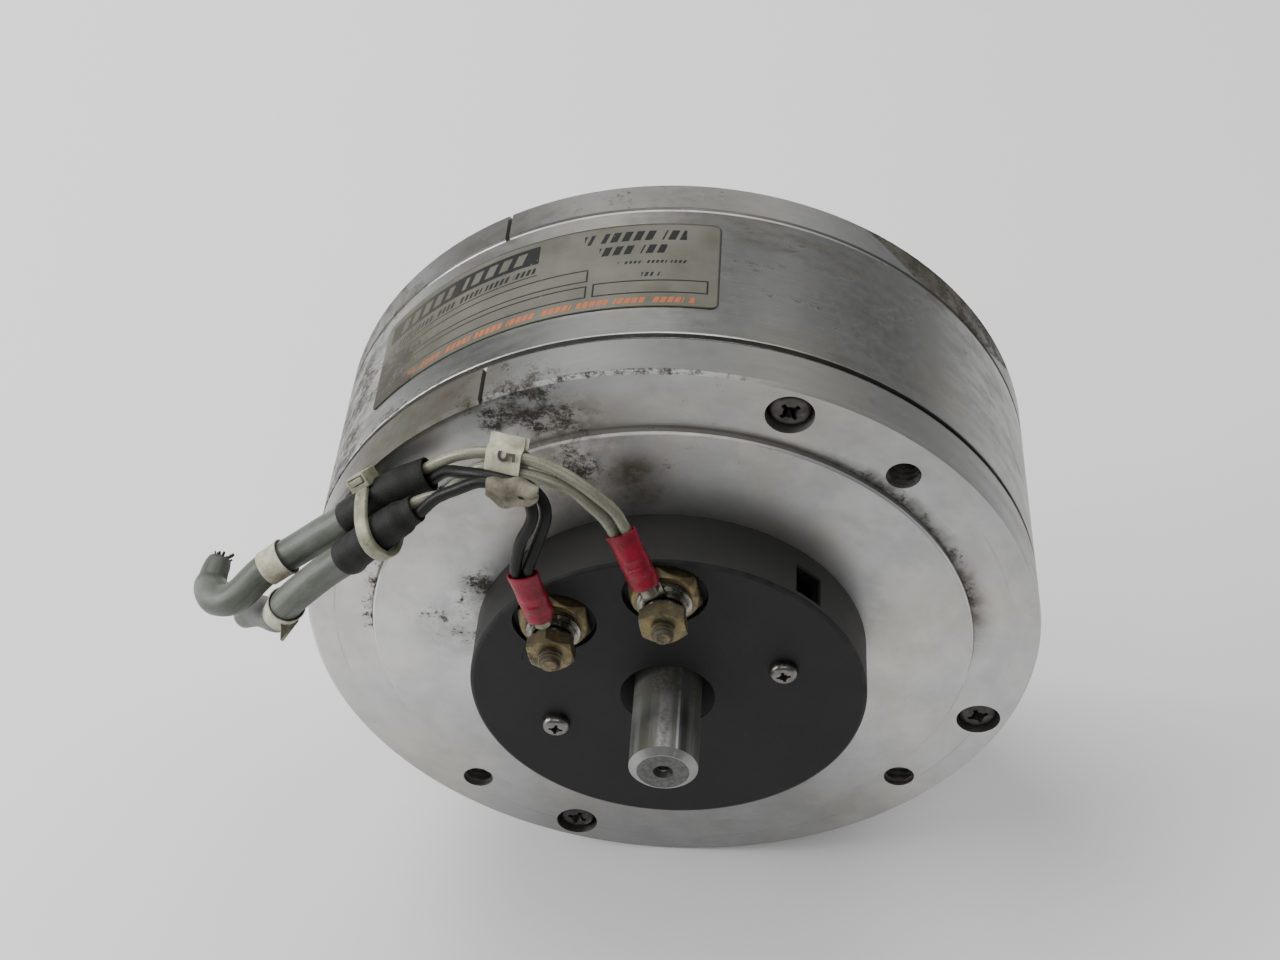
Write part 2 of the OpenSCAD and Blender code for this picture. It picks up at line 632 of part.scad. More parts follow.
module front_bearing_outer() color("silver")
    outer_race(front_brg_y0, front_brg_w, front_brg_d, front_ball_r, front_ball_d);
module front_bearing_inner() color("silver")
    inner_race(front_brg_y0, front_brg_w, shaft_d + 2 * fit, front_ball_r, front_ball_d);
module front_bearing_balls() color("white")
    ball_set(front_brg_y0, front_brg_w, front_ball_r, front_ball_d, front_balls);
module rear_bearing_outer() color("silver")
    outer_race(rear_brg_y0, rear_brg_w, rear_brg_d, rear_ball_r, rear_ball_d);
module rear_bearing_inner() color("silver")
    inner_race(rear_brg_y0, rear_brg_w, rear_journal_d + 2 * fit, rear_ball_r, rear_ball_d);
module rear_bearing_balls() color("white")
    ball_set(rear_brg_y0, rear_brg_w, rear_ball_r, rear_ball_d, rear_balls);
module bearing_shields() color("lightgray") {
    shield_pair(front_brg_y0, front_brg_w, front_ball_r, front_ball_d);
    shield_pair(rear_brg_y0, rear_brg_w, rear_ball_r, rear_ball_d);
}

// Open ring that springs into a groove from y0 on, its opening towards +X
module open_ring(y0, ri, ro) difference() {
    tube(y0 + fit, y0 + groove_w - fit, 2 * ro, 2 * ri);
    translate([0, y0, -ri / 4]) cube([ro + over, groove_w, ri / 2]);
}
module bearing_retaining_ring() color("dimgray") open_ring(front_brg_y1,
    front_brg_d / 2 - ring_reach, front_brg_d / 2 + ring_groove_depth);
module shaft_retaining_ring() color("dimgray") open_ring(ring_groove_y,
    shaft_d / 2 - ring_groove_depth + fit, shaft_d / 2 + ring_reach);

// Wave washer: waves round a thin ring
module preload_washer() color("dimgray") {
    middle = (rear_brg_y1 + pocket_y) / 2;
    swing = (preload_h - wave_t) / 2 - fit;
    rings = [for (k = [0 : wave_steps - 1])
        let (a = k * 360 / wave_steps, y = middle + swing * sin(waves * a))
        for (c = [[wave_ri, -1], [wave_ro, -1], [wave_ro, 1], [wave_ri, 1]])
            polar(a, c[0], y + c[1] * wave_t / 2)];
    polyhedron(points = rings, faces = [for (k = [0 : wave_steps - 1]) for (c = [0 : 3])
        let (n = (k + 1) % wave_steps, d = (c + 1) % 4)
        for (face = [[4 * k + c, 4 * k + d, 4 * n + c], [4 * n + c, 4 * k + d, 4 * n + d]]) face],
        convexity = 4);
}

module shaft() color("lightgray") difference() {
    turned() polygon([[0, -shaft_len], [shaft_d / 2 - shaft_chamfer, -shaft_len],
        [shaft_d / 2, -shaft_len + shaft_chamfer * 0.7], [shaft_d / 2, ring_groove_y],
        [shaft_d / 2 - ring_groove_depth, ring_groove_y],
        [shaft_d / 2 - ring_groove_depth, front_brg_y0], [shaft_d / 2, front_brg_y0],
        [shaft_d / 2, front_brg_y1], [shaft_mid_d / 2, front_brg_y1],
        [shaft_mid_d / 2, rear_brg_y0], [rear_journal_d / 2, rear_brg_y0],
        [rear_journal_d / 2, rear_brg_y1 - tip_chamfer],
        [rear_journal_d / 2 - tip_chamfer, rear_brg_y1], [0, rear_brg_y1]]);
    turned() polygon([[0, -shaft_len - over], [centre_d / 2 + over, -shaft_len - over],
        [centre_d / 2, -shaft_len], [centre_d * 0.3, -shaft_len + centre_d / 3],
        [centre_d * 0.3, centre_depth - shaft_len - centre_d * 0.2],
        [0, centre_depth - shaft_len]]);
}

module armature_hub() color("silver") difference() {
    union() {
        rod(hub_y0, hub_y1, hub_d);
        rod(armature_y1, armature_y1 + flange_t, flange_d);
    }
    rod(hub_y0 - over, hub_y1 + over, shaft_mid_d + 2 * fit);
    around(clamp_screws_n, 0, clamp_screw_r)
        rod(armature_y1 - over, armature_y1 + flange_t + over, clamp_screw_d + 2 * fit);
}

module armature_disc() color("peru") difference() {
    rod(armature_y0, armature_y1, 2 * armature_r);
    rod(armature_y0 - over, armature_y1 + over, hub_d + 2 * fit);
    around(clamp_screws_n, 0, clamp_screw_r)
        rod(armature_y0 - over, armature_y1 + over, clamp_screw_d + 2 * loose);
}

// Cone of a countersunk head, wide end at y
module countersink(y, grow) turned() polygon([[0, y], [clamp_screw_d * 0.95 + grow, y],
    [clamp_screw_d / 2 + grow, y + clamp_screw_d * 0.45], [0, y + clamp_screw_d * 0.45]]);

module clamp_ring() color("silver") difference() {
    tube(clamp_y0, armature_y0, flange_d, hub_d + 2 * fit);
    around(clamp_screws_n, 0, clamp_screw_r) {
        rod(clamp_y0 - over, armature_y0 + over, clamp_screw_d + 2 * fit);
        countersink(clamp_y0, fit);
    }
}

module clamp_screws() color("silver") around(clamp_screws_n, 0, clamp_screw_r) {
    countersink(clamp_y0, 0);
    rod(clamp_y0, armature_y1 + flange_t, clamp_screw_d);
}

// A conductor from terminal sleeve i to a shrink sleeve's face, on the side that s says
module lead(i, s, route, face, dir, side) swept(
    concat([sleeve_point(i, sleeve_len, s * lead_gap)], route, [face + side * lead_gap * across(dir)]),
    lead_d, 8, sleeve_dir(i), dir);
module pale_lead_upper() color([0.6, 0.6, 0.5]) lead(0, 1, pale_upper_route, upper_in, upper_dir, 1);
module pale_lead_lower() color([0.6, 0.6, 0.5]) lead(0, -1, pale_lower_route, lower_in, lower_dir, 1);
module black_lead_upper() color([0.1, 0.1, 0.1])
    lead(1, 1, black_upper_route, upper_in, upper_dir, -1);
module black_lead_lower() color([0.1, 0.1, 0.1])
    lead(1, -1, black_lower_route, lower_in, lower_dir, -1);

module shrink_sleeve_upper() color([0.12, 0.12, 0.12]) bar(upper_in, upper_out, shrink_d);
module shrink_sleeve_lower() color([0.12, 0.12, 0.12]) bar(lower_in, lower_out, shrink_d);

module cable(from, route, dir) {
    last = len(route) - 1;
    swept(concat([from], route), cable_d, 12, dir, unit(route[last] - route[last - 1]));
}
module cable_upper() color([0.5, 0.5, 0.48]) cable(upper_out, cable_upper_route, upper_dir);
module cable_lower() color([0.5, 0.5, 0.48]) cable(lower_out, cable_lower_route, lower_dir);

// Marker band round a jacket, on the straight from a to b, the given share of the way along
module marker_band(a, b, share) {
    m = a + share * (b - a);
    v = unit(b - a) * band_len / 2;
    difference() {
        bar(m - v, m + v, cable_d + 2 * band_t);
        bar(m - 2 * v, m + 2 * v, cable_d + 2 * fit);
    }
}
module marker_band_upper() color([0.8, 0.8, 0.74])
    marker_band(cable_upper_route[1], cable_upper_route[2], 0.7);
module marker_band_lower() color([0.8, 0.8, 0.74])
    marker_band(cable_lower_route[2], cable_lower_route[3], 0.5);

// Cloth marker folded round two conductors at the route points a and b, its free ends stuck
// together into a tab beyond b. The directions are those of the wires and the marker's length.
module flag(a, b, along, len, tab) {
    w = norm(b - a) + lead_d + flag_slack;
    t = lead_d + flag_slack;
    aligned((a + b) / 2, b - a, along) linear_extrude(height = len, center = true) difference() {
        union() {
            oval(w + 2 * flag_t, t + 2 * flag_t);
            translate([0, (w + tab) / 2]) square([2 * flag_t, tab], center = true);
        }
        oval(w, t);
    }
}
module lead_flag() color([0.85, 0.84, 0.76])
    flag(pale_lower_route[flag_point], pale_upper_route[flag_point],
        pale_upper_route[flag_point + 1] - pale_upper_route[flag_point - 1], flag_len, flag_tab);
module folded_flag() color([0.75, 0.72, 0.6])
    flag(black_upper_route[flag_point], black_lower_route[flag_point],
        black_upper_route[flag_point + 1] - black_upper_route[flag_point - 1], folded_len, folded_tab);

// Cable tie pulled slantwise round both shrink sleeves, with its head on top of the upper one
module cable_tie() color([0.75, 0.73, 0.6]) {
    a = upper_in + tie_at * (upper_out - upper_in);
    b = lower_in + ((a - lower_in) * lower_dir - tie_slant) * lower_dir;
    span = norm(b - a);
    w = span + shrink_d + tie_slack;
    t = shrink_d + 2 * gap;
    aligned((a + b) / 2, a - b, upper_dir) {
        linear_extrude(height = tie_w, center = true) difference() {
            oval(w + 2 * tie_t, t + 2 * tie_t);
            oval(w, t);
        }
        translate([(t + tie_t) / 2, (span - tie_head_w) / 2, -tie_head_w / 2])
            cube([tie_head_h, tie_head_w, tie_head_w]);
    }
}

front_plate();
housing_ring();
rear_plate();
front_flux_ring();
rear_flux_plate();
magnets();
housing_screws();
brush_cover();
cover_screws();
brush_holders();
brush_caps();
brush_springs();
brushes();
terminal_washers();
ring_terminals();
terminal_sleeves();
lock_washers();
terminal_nuts();
front_bearing_outer();
front_bearing_inner();
front_bearing_balls();
rear_bearing_outer();
rear_bearing_inner();
rear_bearing_balls();
bearing_shields();
bearing_retaining_ring();
preload_washer();
shaft();
shaft_retaining_ring();
armature_hub();
armature_disc();
clamp_ring();
clamp_screws();
pale_lead_upper();
pale_lead_lower();
black_lead_upper();
black_lead_lower();
shrink_sleeve_upper();
shrink_sleeve_lower();
cable_upper();
cable_lower();
marker_band_upper();
marker_band_lower();
lead_flag();
folded_flag();
cable_tie();
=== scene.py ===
"""Looks of a flat disc-armature servo motor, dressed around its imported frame.

Metres. The shaft lies along Y and points to -Y, Z is up, and angles run from +X towards +Z.
"""
import math
from collections import namedtuple
from random import Random

import bpy
from mathutils import Matrix, Vector


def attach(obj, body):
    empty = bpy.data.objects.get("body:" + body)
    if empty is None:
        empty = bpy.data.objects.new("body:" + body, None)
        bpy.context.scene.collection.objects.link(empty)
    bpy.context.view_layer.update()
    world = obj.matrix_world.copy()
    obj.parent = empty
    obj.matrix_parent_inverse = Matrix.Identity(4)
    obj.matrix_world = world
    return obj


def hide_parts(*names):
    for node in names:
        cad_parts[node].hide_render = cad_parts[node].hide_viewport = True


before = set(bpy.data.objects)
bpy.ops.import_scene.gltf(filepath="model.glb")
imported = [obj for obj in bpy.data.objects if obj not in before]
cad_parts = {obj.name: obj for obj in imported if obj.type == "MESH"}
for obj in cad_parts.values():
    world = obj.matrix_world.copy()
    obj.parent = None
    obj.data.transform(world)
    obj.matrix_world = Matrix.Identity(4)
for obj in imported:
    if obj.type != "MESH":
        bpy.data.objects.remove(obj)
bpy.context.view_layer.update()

MM = 0.001

# Housing, brush cover and shaft, as the frame has them
BODY_RADIUS = 0.06985
PILOT_RADIUS = 0.05715
FRONT_THICKNESS = 0.0085
RING_END = 0.0439
BACK_Y = 0.0517
PILOT_Y = -0.0016
BAND_Y = 0.0097
SHAFT_END_Y = -0.02964
COVER_Y = -0.0132
COVER_RADIUS = 0.03715

# Where the camera stands, its focal length in pixels of the picture, and how far its aim lies
# from the origin, to the right and upwards, as shares of the distance
CAMERA_PLACE = Vector((0.00835, -0.24223, 0.28990))
FOCAL_PIXELS = 1963.7
AIM_RIGHT = -0.01730
AIM_UP = 0.08207
PICTURE_WIDTH = 1280
SENSOR_WIDTH = 36
CLIP_START = 0.01

# Area lights: place, size and power in watts, and the light of the room
LIGHTS = {
    "ceiling_left": ((-0.75, 0.6, 1.5), (1.2, 1.0), 22),
    "ceiling_right": ((0.75, 0.75, 1.5), (1.2, 1.0), 10),
    "ceiling_front": ((-0.1, -1.4, 1.6), (1.7, 0.5), 10),
    "window_left": ((-1.6, -0.2, 0.6), (0.9, 0.9), 30),
    "window_right": ((1.7, 0.5, 0.5), (0.6, 0.9), 3),
}
ROOM_COLOUR = (0.80, 0.81, 0.82, 1)
ROOM_STRENGTH = 0.26
FLOOR_SIZE = 6

# Looks: the circle of a witness line on the front plate, and what several materials share
WITNESS_RADIUS = 0.0647
REFRACTION = 1.45
ZONE_SOFTNESS = 0.7
# Colours of dirt and of an oil film; on the front plate and the terminal hardware they also paint
# shade
DIRT_AND_SHADE_COLOUR = (0.032, 0.028, 0.019)
OIL_AND_SHADE_COLOUR = (0.068, 0.061, 0.042)

# Rounding of small edges
EDGE_ROUND = 0.00012

# Screws: circle, first angle and how many, seat, head and shank
HOUSING_SCREWS = {"radius": 0.0640, "angle": 72.3, "count": 4, "seat": 0.0033, "head": 0.0080,
                  "height": 0.0025, "shank": 0.0041, "length": 0.0465, "turns": (38, 12, 70, 25)}
COVER_SCREWS = {"radius": 0.0232, "angle": 24, "count": 2, "seat": COVER_Y, "head": 0.0053,
                "height": 0.0019, "shank": 0.0028, "length": 0.0197, "turns": (15, -8)}

# Tapped mounting holes
MOUNT_RADIUS = 0.0619
MOUNT_ANGLE = 49.8
MOUNT_PITCH = 0.00127
MOUNT_CREST = 0.00262
MOUNT_COUNT = 4

# Terminal studs, what is on them, and the crimp terminals
STUD_RADIUS = 0.0285
STUD_ANGLES = (91.5, 136.5)
RECESS_Y = -0.0116
CAP_ACROSS = 0.0124
CAP_THICKNESS = 0.0028
PLUG_RADIUS = 0.00348
PLUG_LENGTH = 0.0030
STUD_FOOT = 0.001
STUD_TIP = 0.0118
THREAD_PITCH = 0.000794
THREAD_RADIUS = 0.00208
CORE_RADIUS = 0.00165
LOCK_MIDDLE_Y = -0.0176
LOCK_INNER = 0.0022
LOCK_OUTER = 0.0037
LOCK_THICKNESS = 0.00115
LOCK_TURN = 346
LOCK_RISE = 0.0002
TONGUE_ANGLES = (116, 104.5)
TONGUE_TILTS = (18, 1)
TONGUE_Y = -0.0170
NECK_LENGTH = 0.0070
NECK_BEND = 0.0042
SLEEVE_RISE = 0.0008
SLEEVE_LENGTH = 0.012
LEAD_DIAMETER = 0.0021
LEAD_GAP = 0.0011
LEAD_INSET = 0.0015
JACKET_DIAMETER = 0.0064
SHRINK_DIAMETER = 0.0070
STRAND_COUNT = 34

# Label on the housing ring: its angles, its stretch along the shaft, its sheet and its grid
LABEL_ANGLES = (143.5, 84.6)
LABEL_Y = (0.0165, 0.0395)
LABEL_CORNER = 0.0016
LABEL_THICKNESS = 0.00016
LABEL_LIFT = 0.00012
LABEL_GRID = (150, 46)

# Cloth tape: the marker bands with one loose tail, and the flags, whose sizes are the length
# along the leads, the slack round them, the tab and how much further the back layer reaches.
# Both flags sit at the same point of their leads' routes
BAND_HALF_LENGTH = 0.0023
BAND_THICKNESS = 0.0002
TAIL_LENGTH = 0.0044
TAIL_WIDTH = 0.0034
FLAG_THICKNESS = 0.00022
TAB_GAP = 0.00024
LEAD_FLAG_SIZE = (0.0062, 0.0007, 0.0022, 0.0007)
FOLDED_FLAG_SIZE = (0.0086, 0.0008, 0.0017, 0.0004)
FLAG_POINT = 5

# Cable ends: the middle of each shrink sleeve's face towards the terminals, and its other end
UPPER_IN, UPPER_OUT = Vector((-0.0425, -0.005, 0.048)), Vector((-0.057, -0.005, 0.0365))
LOWER_IN, LOWER_OUT = Vector((-0.044, -0.012, 0.0465)), Vector((-0.057, -0.012, 0.0335))
UPPER_WAY, LOWER_WAY = (UPPER_OUT - UPPER_IN).normalized(), (LOWER_OUT - LOWER_IN).normalized()

# Routes of the leads and of the cut cables
PALE_UPPER = [(-9.5, -12.5, 48.5), (-12, -12, 51), (-15.5, -11, 53.5), (-19.5, -9.5, 55),
              (-24, -8, 55.5), (-28.5, -7, 55.5), (-33, -6, 55), (-37, -5.5, 53.5), (-40, -5, 51.5)]
PALE_LOWER = [(-11.5, -12.5, 47), (-13.5, -12, 49), (-16.5, -11, 51.5), (-20, -10.5, 53),
              (-24, -9.5, 53.5), (-28.5, -8.5, 53.5), (-32.5, -7.5, 53), (-36, -7.5, 50),
              (-39, -9.5, 48), (-41.5, -10.5, 48)]
BLACK_UPPER = [(-23.5, -17, 41), (-22, -16, 45.5), (-21, -15.5, 49.5), (-21.5, -14.5, 52.5),
               (-24, -13.5, 55), (-27.5, -12.5, 55), (-31.5, -11, 54.5), (-35.5, -9, 53),
               (-39, -6.5, 50.5)]
BLACK_LOWER = [(-26, -17.5, 41.5), (-25, -17.5, 46), (-23.5, -17.5, 49.5), (-23, -17, 52.5),
               (-24.5, -16, 55.5), (-28, -15, 56), (-32, -13.5, 55.5), (-36, -13, 53),
               (-40, -12.5, 50)]
CABLE_UPPER = [(-62.5, -5, 32), (-66.5, -5, 28.5), (-74, -7, 23.5), (-78.5, -10, 20),
               (-81.5, -10, 18), (-84, -8, 16.5), (-86, -4, 14.5), (-86, -1, 15), (-85.5, 2, 15.5)]
CABLE_LOWER = [(-61, -12.2, 30), (-65, -12.5, 26), (-69, -12.8, 21.5), (-71.5, -11.5, 16),
               (-75, -7.5, 12), (-78, -4.5, 9), (-81, -2.5, 5.5)]


def polar(angle, radius, y):
    a = math.radians(angle)
    return Vector((radius * math.cos(a), y, radius * math.sin(a)))


def millimetres(route):
    return [Vector(point) * MM for point in route]


def sleeve_direction(i):
    a, t = math.radians(TONGUE_ANGLES[i]), math.radians(TONGUE_TILTS[i])
    return Vector((math.cos(a) * math.cos(t), math.sin(t), math.sin(a) * math.cos(t)))


def sleeve_sideways(i):
    a = math.radians(TONGUE_ANGLES[i])
    return Vector((math.sin(a), 0, -math.cos(a)))


def sleeve_point(i, along, side):
    """Point on crimp terminal i: along its sleeve from the near face, and sideways."""
    tilt = math.tan(math.radians(TONGUE_TILTS[i]))
    start_y = TONGUE_Y - SLEEVE_RISE + (NECK_LENGTH - NECK_BEND) * tilt
    return (polar(STUD_ANGLES[i], STUD_RADIUS, start_y) + polar(TONGUE_ANGLES[i], NECK_LENGTH, 0)
            + along * sleeve_direction(i) + side * sleeve_sideways(i))


def across(direction):
    return Vector((direction.z, 1, -direction.x)).normalized()


def aligned(origin, y, z):
    """Puts local Z along z and local Y as near to y as that allows, with the origin moved."""
    w = z.normalized()
    u = y.cross(w).normalized()
    return Matrix.Translation(origin) @ Matrix((u, w.cross(u), w)).transposed().to_4x4()


def facing_front(place, turn=0.0):
    """Puts a model's +Z towards -Y at place, turned about that axis by so many degrees."""
    return (Matrix.Translation(place) @ Matrix.Rotation(math.radians(-turn), 4, "Y")
            @ Matrix.Rotation(math.radians(90), 4, "X"))


# Camera and lights

def make_camera():
    forward = -CAMERA_PLACE.normalized()
    right = forward.cross(Vector((0, 0, 1))).normalized()
    forward = (forward + AIM_RIGHT * right + AIM_UP * right.cross(forward)).normalized()
    right = forward.cross(Vector((0, 0, 1))).normalized()
    up = right.cross(forward)
    data = bpy.data.cameras.new("camera")
    data.sensor_width = SENSOR_WIDTH
    data.lens = FOCAL_PIXELS / PICTURE_WIDTH * SENSOR_WIDTH
    data.clip_start = CLIP_START
    camera = bpy.data.objects.new("camera", data)
    turn = Matrix((right, up, -forward)).transposed().to_4x4()
    camera.matrix_world = Matrix.Translation(CAMERA_PLACE) @ turn
    bpy.context.collection.objects.link(camera)
    bpy.context.scene.camera = camera


def soft_light(name, place, size, power):
    """A rectangular light at place, aimed at the origin."""
    data = bpy.data.lights.new(name, "AREA")
    data.shape = "RECTANGLE"
    data.size, data.size_y = size
    data.energy = power
    light = bpy.data.objects.new(name, data)
    place = Vector(place)
    light.matrix_world = (Matrix.Translation(place)
                          @ (-place).to_track_quat("-Z", "Y").to_matrix().to_4x4())
    bpy.context.collection.objects.link(light)


make_camera()
for name, (place, size, power) in LIGHTS.items():
    soft_light(name, place, size, power)

world = bpy.data.worlds.new("studio")
bpy.context.scene.world = world
world.use_nodes = True
background = world.node_tree.nodes["Background"].inputs
background["Color"].default_value = ROOM_COLOUR
background["Strength"].default_value = ROOM_STRENGTH


# Nodes and materials

class Value:
    """An output of a shader node. Arithmetic and comparisons with it add Math nodes."""

    def __init__(self, socket):
        self.socket = socket

    def __add__(self, other):
        return calc("ADD", self, other)

    def __radd__(self, other):
        return calc("ADD", other, self)

    def __sub__(self, other):
        return calc("SUBTRACT", self, other)

    def __rsub__(self, other):
        return calc("SUBTRACT", other, self)

    def __mul__(self, other):
        return calc("MULTIPLY", self, other)

    def __rmul__(self, other):
        return calc("MULTIPLY", other, self)

    def __truediv__(self, other):
        return calc("DIVIDE", self, other)

    def __gt__(self, other):
        return calc("GREATER_THAN", self, other)

    def __lt__(self, other):
        return calc("LESS_THAN", self, other)

    def __abs__(self):
        return calc("ABSOLUTE", self)


def feed(sockets, values):
    """Links or sets sockets by index or name."""
    for key, value in values.items():
        if isinstance(value, Value):
            value.socket.id_data.links.new(value.socket, sockets[key])
        else:
            sockets[key].default_value = value


def add(kind, values=(), out=0, tree=None, **settings):
    """A new node in the tree of its values, or in the given one. Returns one of its outputs."""
    values = values if isinstance(values, dict) else dict(enumerate(values))
    if tree is None:
        tree = next(v for v in values.values() if isinstance(v, Value)).socket.id_data
    node = tree.nodes.new("ShaderNode" + kind)
    for key, value in settings.items():
        setattr(node, key, value)
    feed(node.inputs, values)
    return Value(node.outputs[out])


def all_outputs(value):
    """Every output of the node that a value comes from."""
    return [Value(socket) for socket in value.socket.node.outputs]


def calc(operation, *values, clamp=False):
    return add("Math", values, operation=operation, use_clamp=clamp)


def strongest(first, *others):
    for other in others:
        first = calc("MAXIMUM", first, other)
    return first


def colour_mix(share, first, second, mode="MIX"):
    first, second = (c if isinstance(c, Value) else (*c, 1) for c in (first, second))
    return add("Mix", {0: share, 6: first, 7: second}, out=2, data_type="RGBA", blend_type=mode)


def layered(colour, *coats):
    """Lays coats over a colour, each a mask and its own colour, the last one on top."""
    for mask, coat in coats:
        colour = colour_mix(mask, colour, coat)
    return colour


def grey(value):
    return add("CombineColor", [value] * 3)


def smooth_range(value, low, high, to_low=0.0, to_high=1.0):
    return add("MapRange", {"Value": value, "From Min": low, "From Max": high,
                            "To Min": to_low, "To Max": to_high},
               interpolation_type="SMOOTHSTEP")


def eased(share, low, high):
    """Runs smoothly from low to high as a share goes from 0 to 1."""
    return smooth_range(share, 0.0, 1.0, low, high)


def between(share, low, high):
    """Runs evenly from low to high as a share goes from 0 to 1."""
    return add("MapRange", {"Value": share, "To Min": low, "To Max": high})


def noise(place, scale, detail=3.0, roughness=0.55):
    return add("TexNoise", {"Vector": place, "Scale": scale, "Detail": detail,
                            "Roughness": roughness})


def combined(x, y, z):
    return add("CombineXYZ", [x, y, z])


def split_xyz(vector):
    return all_outputs(add("SeparateXYZ", [vector]))


def stretched(place, by):
    return add("VectorMath", [place, by], operation="MULTIPLY")


def distance(place, point):
    return add("VectorMath", [place, point], out="Value", operation="DISTANCE")


def bump(height, reach, **more):
    return add("Bump", {"Height": height, "Distance": reach, **more})


def layout_of(material):
    """U and V of a piece's own map."""
    return split_xyz(add("UVMap", tree=material.node_tree, uv_map="UVMap"))[:2]


def shader_group(**inputs):
    """Builds a node group from a function of Values that returns the outputs by name.

    inputs gives each input's default. Calling the function later places the group in a material.
    """
    def build(make):
        tree = bpy.data.node_groups.new(make.__name__, "ShaderNodeTree")
        for label, default in inputs.items():
            kind = "Float" if isinstance(default, float) else "Vector"
            socket = tree.interface.new_socket(label, in_out="INPUT",
                                               socket_type="NodeSocket" + kind)
            socket.default_value = default
        entry = tree.nodes.new("NodeGroupInput")
        results = make(*(Value(entry.outputs[label]) for label in inputs))
        for label in results:
            tree.interface.new_socket(label, in_out="OUTPUT", socket_type="NodeSocketFloat")
        feed(tree.nodes.new("NodeGroupOutput").inputs, results)
        return lambda *values: add("Group", dict(zip(inputs, values)), node_tree=tree)
    return build


@shader_group(Place=(0, 0, 0), Scale=100.0, Contrast=0.5)
def blotches(place, scale, contrast):
    """Blotches from 0 to 1."""
    spread = contrast * 0.3
    return {"Blotch": smooth_range(noise(place, scale, 4, 0.6), 0.5 - spread, 0.5 + spread)}


@shader_group(Place=(0, 0, 0))
def shaft_polar(place):
    """Radius in metres and angle in degrees about the shaft, and the depth along it."""
    x, y, z = split_xyz(place)
    return {"Radius": calc("SQRT", x * x + z * z),
            "Angle": calc("ARCTAN2", z, x) * (180 / math.pi), "Depth": y}


Spot = namedtuple("Spot", "radius angle depth")


def about_shaft(place):
    return Spot(*all_outputs(shaft_polar(place)))


@shader_group(Place=(0, 0, 0), Scale=2500.0)
def lathe_lines(place, scale):
    """Fine lines left by a lathe: rings on a face and hoops round a rim."""
    spot = about_shaft(place)
    return {"Line": noise(combined(spot.radius, spot.depth, spot.angle * 0.00002), scale, 2, 0.7)}


@shader_group(Value=0.0, Middle=0.0, Half=1.0, Soft=0.1)
def window(value, middle, half, soft):
    """1 where a value is near the middle of a range, falling off softly to 0."""
    return {"Mask": smooth_range(abs(value - middle), half - soft, half, 1.0, 0.0)}


@shader_group(Place=(0, 0, 0), Level=0.0, Scale=700.0)
def specks(place, level, scale):
    """Dirt that gathers where level is high and breaks up into specks where it is low."""
    grain = noise(place, scale, 7, 0.75)
    clump = noise(place, scale * 0.2, 3)
    height = grain * 0.55 + clump * 0.45 + level * 0.17
    return {"Dirt": smooth_range(height, 0.61, 0.73) * smooth_range(level, 0.0, 0.2)}


@shader_group(Place=(0, 0, 0), Centre=(0, 0, 0), Reach=0.01)
def near(place, centre, reach):
    """1 at a centre, falling to 0 at the given reach."""
    return {"Near": smooth_range(distance(place, centre), 0.0, reach, 1.0, 0.0)}


@shader_group(U=0.0, V=0.0, Left=0.0, Right=1.0, Low=0.0, High=1.0)
def box(u, v, left, right, low, high):
    """1 inside a rectangle of a flat layout, with edges as sharp as print."""
    return {"Mask": (u > left) * (u < right) * ((v > low) * (v < high))}


def zone(angle, middle, half, other, other_middle, other_half):
    """A soft-edged patch about the shaft, by angle and by another measure, radius or depth."""
    return (window(angle, middle, half, half * ZONE_SOFTNESS)
            * window(other, other_middle, other_half, other_half * ZONE_SOFTNESS))


def new_material(name, specular=0.5):
    """A material, the inputs of its shader, and the place on the object."""
    material = bpy.data.materials.new(name)
    material.use_nodes = True
    shader = material.node_tree.nodes["Principled BSDF"].inputs
    feed(shader, {"Specular IOR Level": specular, "IOR": REFRACTION})
    return material, shader, add("TexCoord", out="Object", tree=material.node_tree)


def worn_metal(name, light, dark, rough, scale=120.0, lines=0.0, grime=None, shade=None,
               edges=None):
    """Metal with blotches in its colour and a fine grain in its gloss.

    lines is the strength of the lathe lines on a turned piece. Only such a piece has a spot
    about the shaft, and it may have shade(spot), a factor on its colour that paints shade and
    highlights, and edges(spot), the height in metres of small chamfers that only the light
    shows. grime(place, spot) gives masks of black specks and of oily film, which on the front
    plate and the terminal hardware also paint shade.
    """
    material, shader, place = new_material(name)
    spot = about_shaft(place) if lines else None
    fine = noise(place, scale * 9, 3)
    colour = colour_mix(blotches(place, scale, 0.9), dark, light)
    gloss = between(fine, rough - 0.08, rough + 0.1)
    height, metallic = fine, 1.0
    if lines:
        turned = lathe_lines(place, 3500.0)
        height = fine * 0.4 + turned * lines
        smudge_place = combined(spot.angle * 0.0007, spot.radius, spot.depth * 3.0)
        smudge = smooth_range(noise(smudge_place, 150.0, 5, 0.65), 0.36, 0.66)
        colour = layered(colour, (turned * 0.16, dark), (smudge * 0.3, [c * 0.72 for c in dark]))
        warm = smooth_range(noise(place, 38.0, 2), 0.4, 0.6)
        tint = colour_mix(warm, (0.965, 0.985, 1.0), (1.0, 0.975, 0.935))
        colour = colour_mix(1.0, colour, tint, "MULTIPLY")
        gloss = gloss + smudge * 0.08
    if shade:
        # Painted shade and highlights, multiplied into the colour
        colour = colour_mix(1.0, colour, grey(shade(spot)), "MULTIPLY")
    if grime:
        # The film on the front plate, and the film and specks on the terminal hardware, also hold
        # painted shade
        dirt, film = grime(place, spot)
        colour = layered(colour, (film, OIL_AND_SHADE_COLOUR), (dirt, DIRT_AND_SHADE_COLOUR))
        metallic = 1.0 - strongest(dirt, film * 0.6)
        gloss = calc("ADD", gloss, dirt * 0.3 + film * 0.1, clamp=True)
        height = height + dirt
    normal = bump(height, 0.00002)
    if edges:
        normal = bump(edges(spot), 1.0, Normal=normal)
    feed(shader, {"Base Color": colour, "Metallic": metallic, "Roughness": gloss,
                  "Normal": normal})
    return material


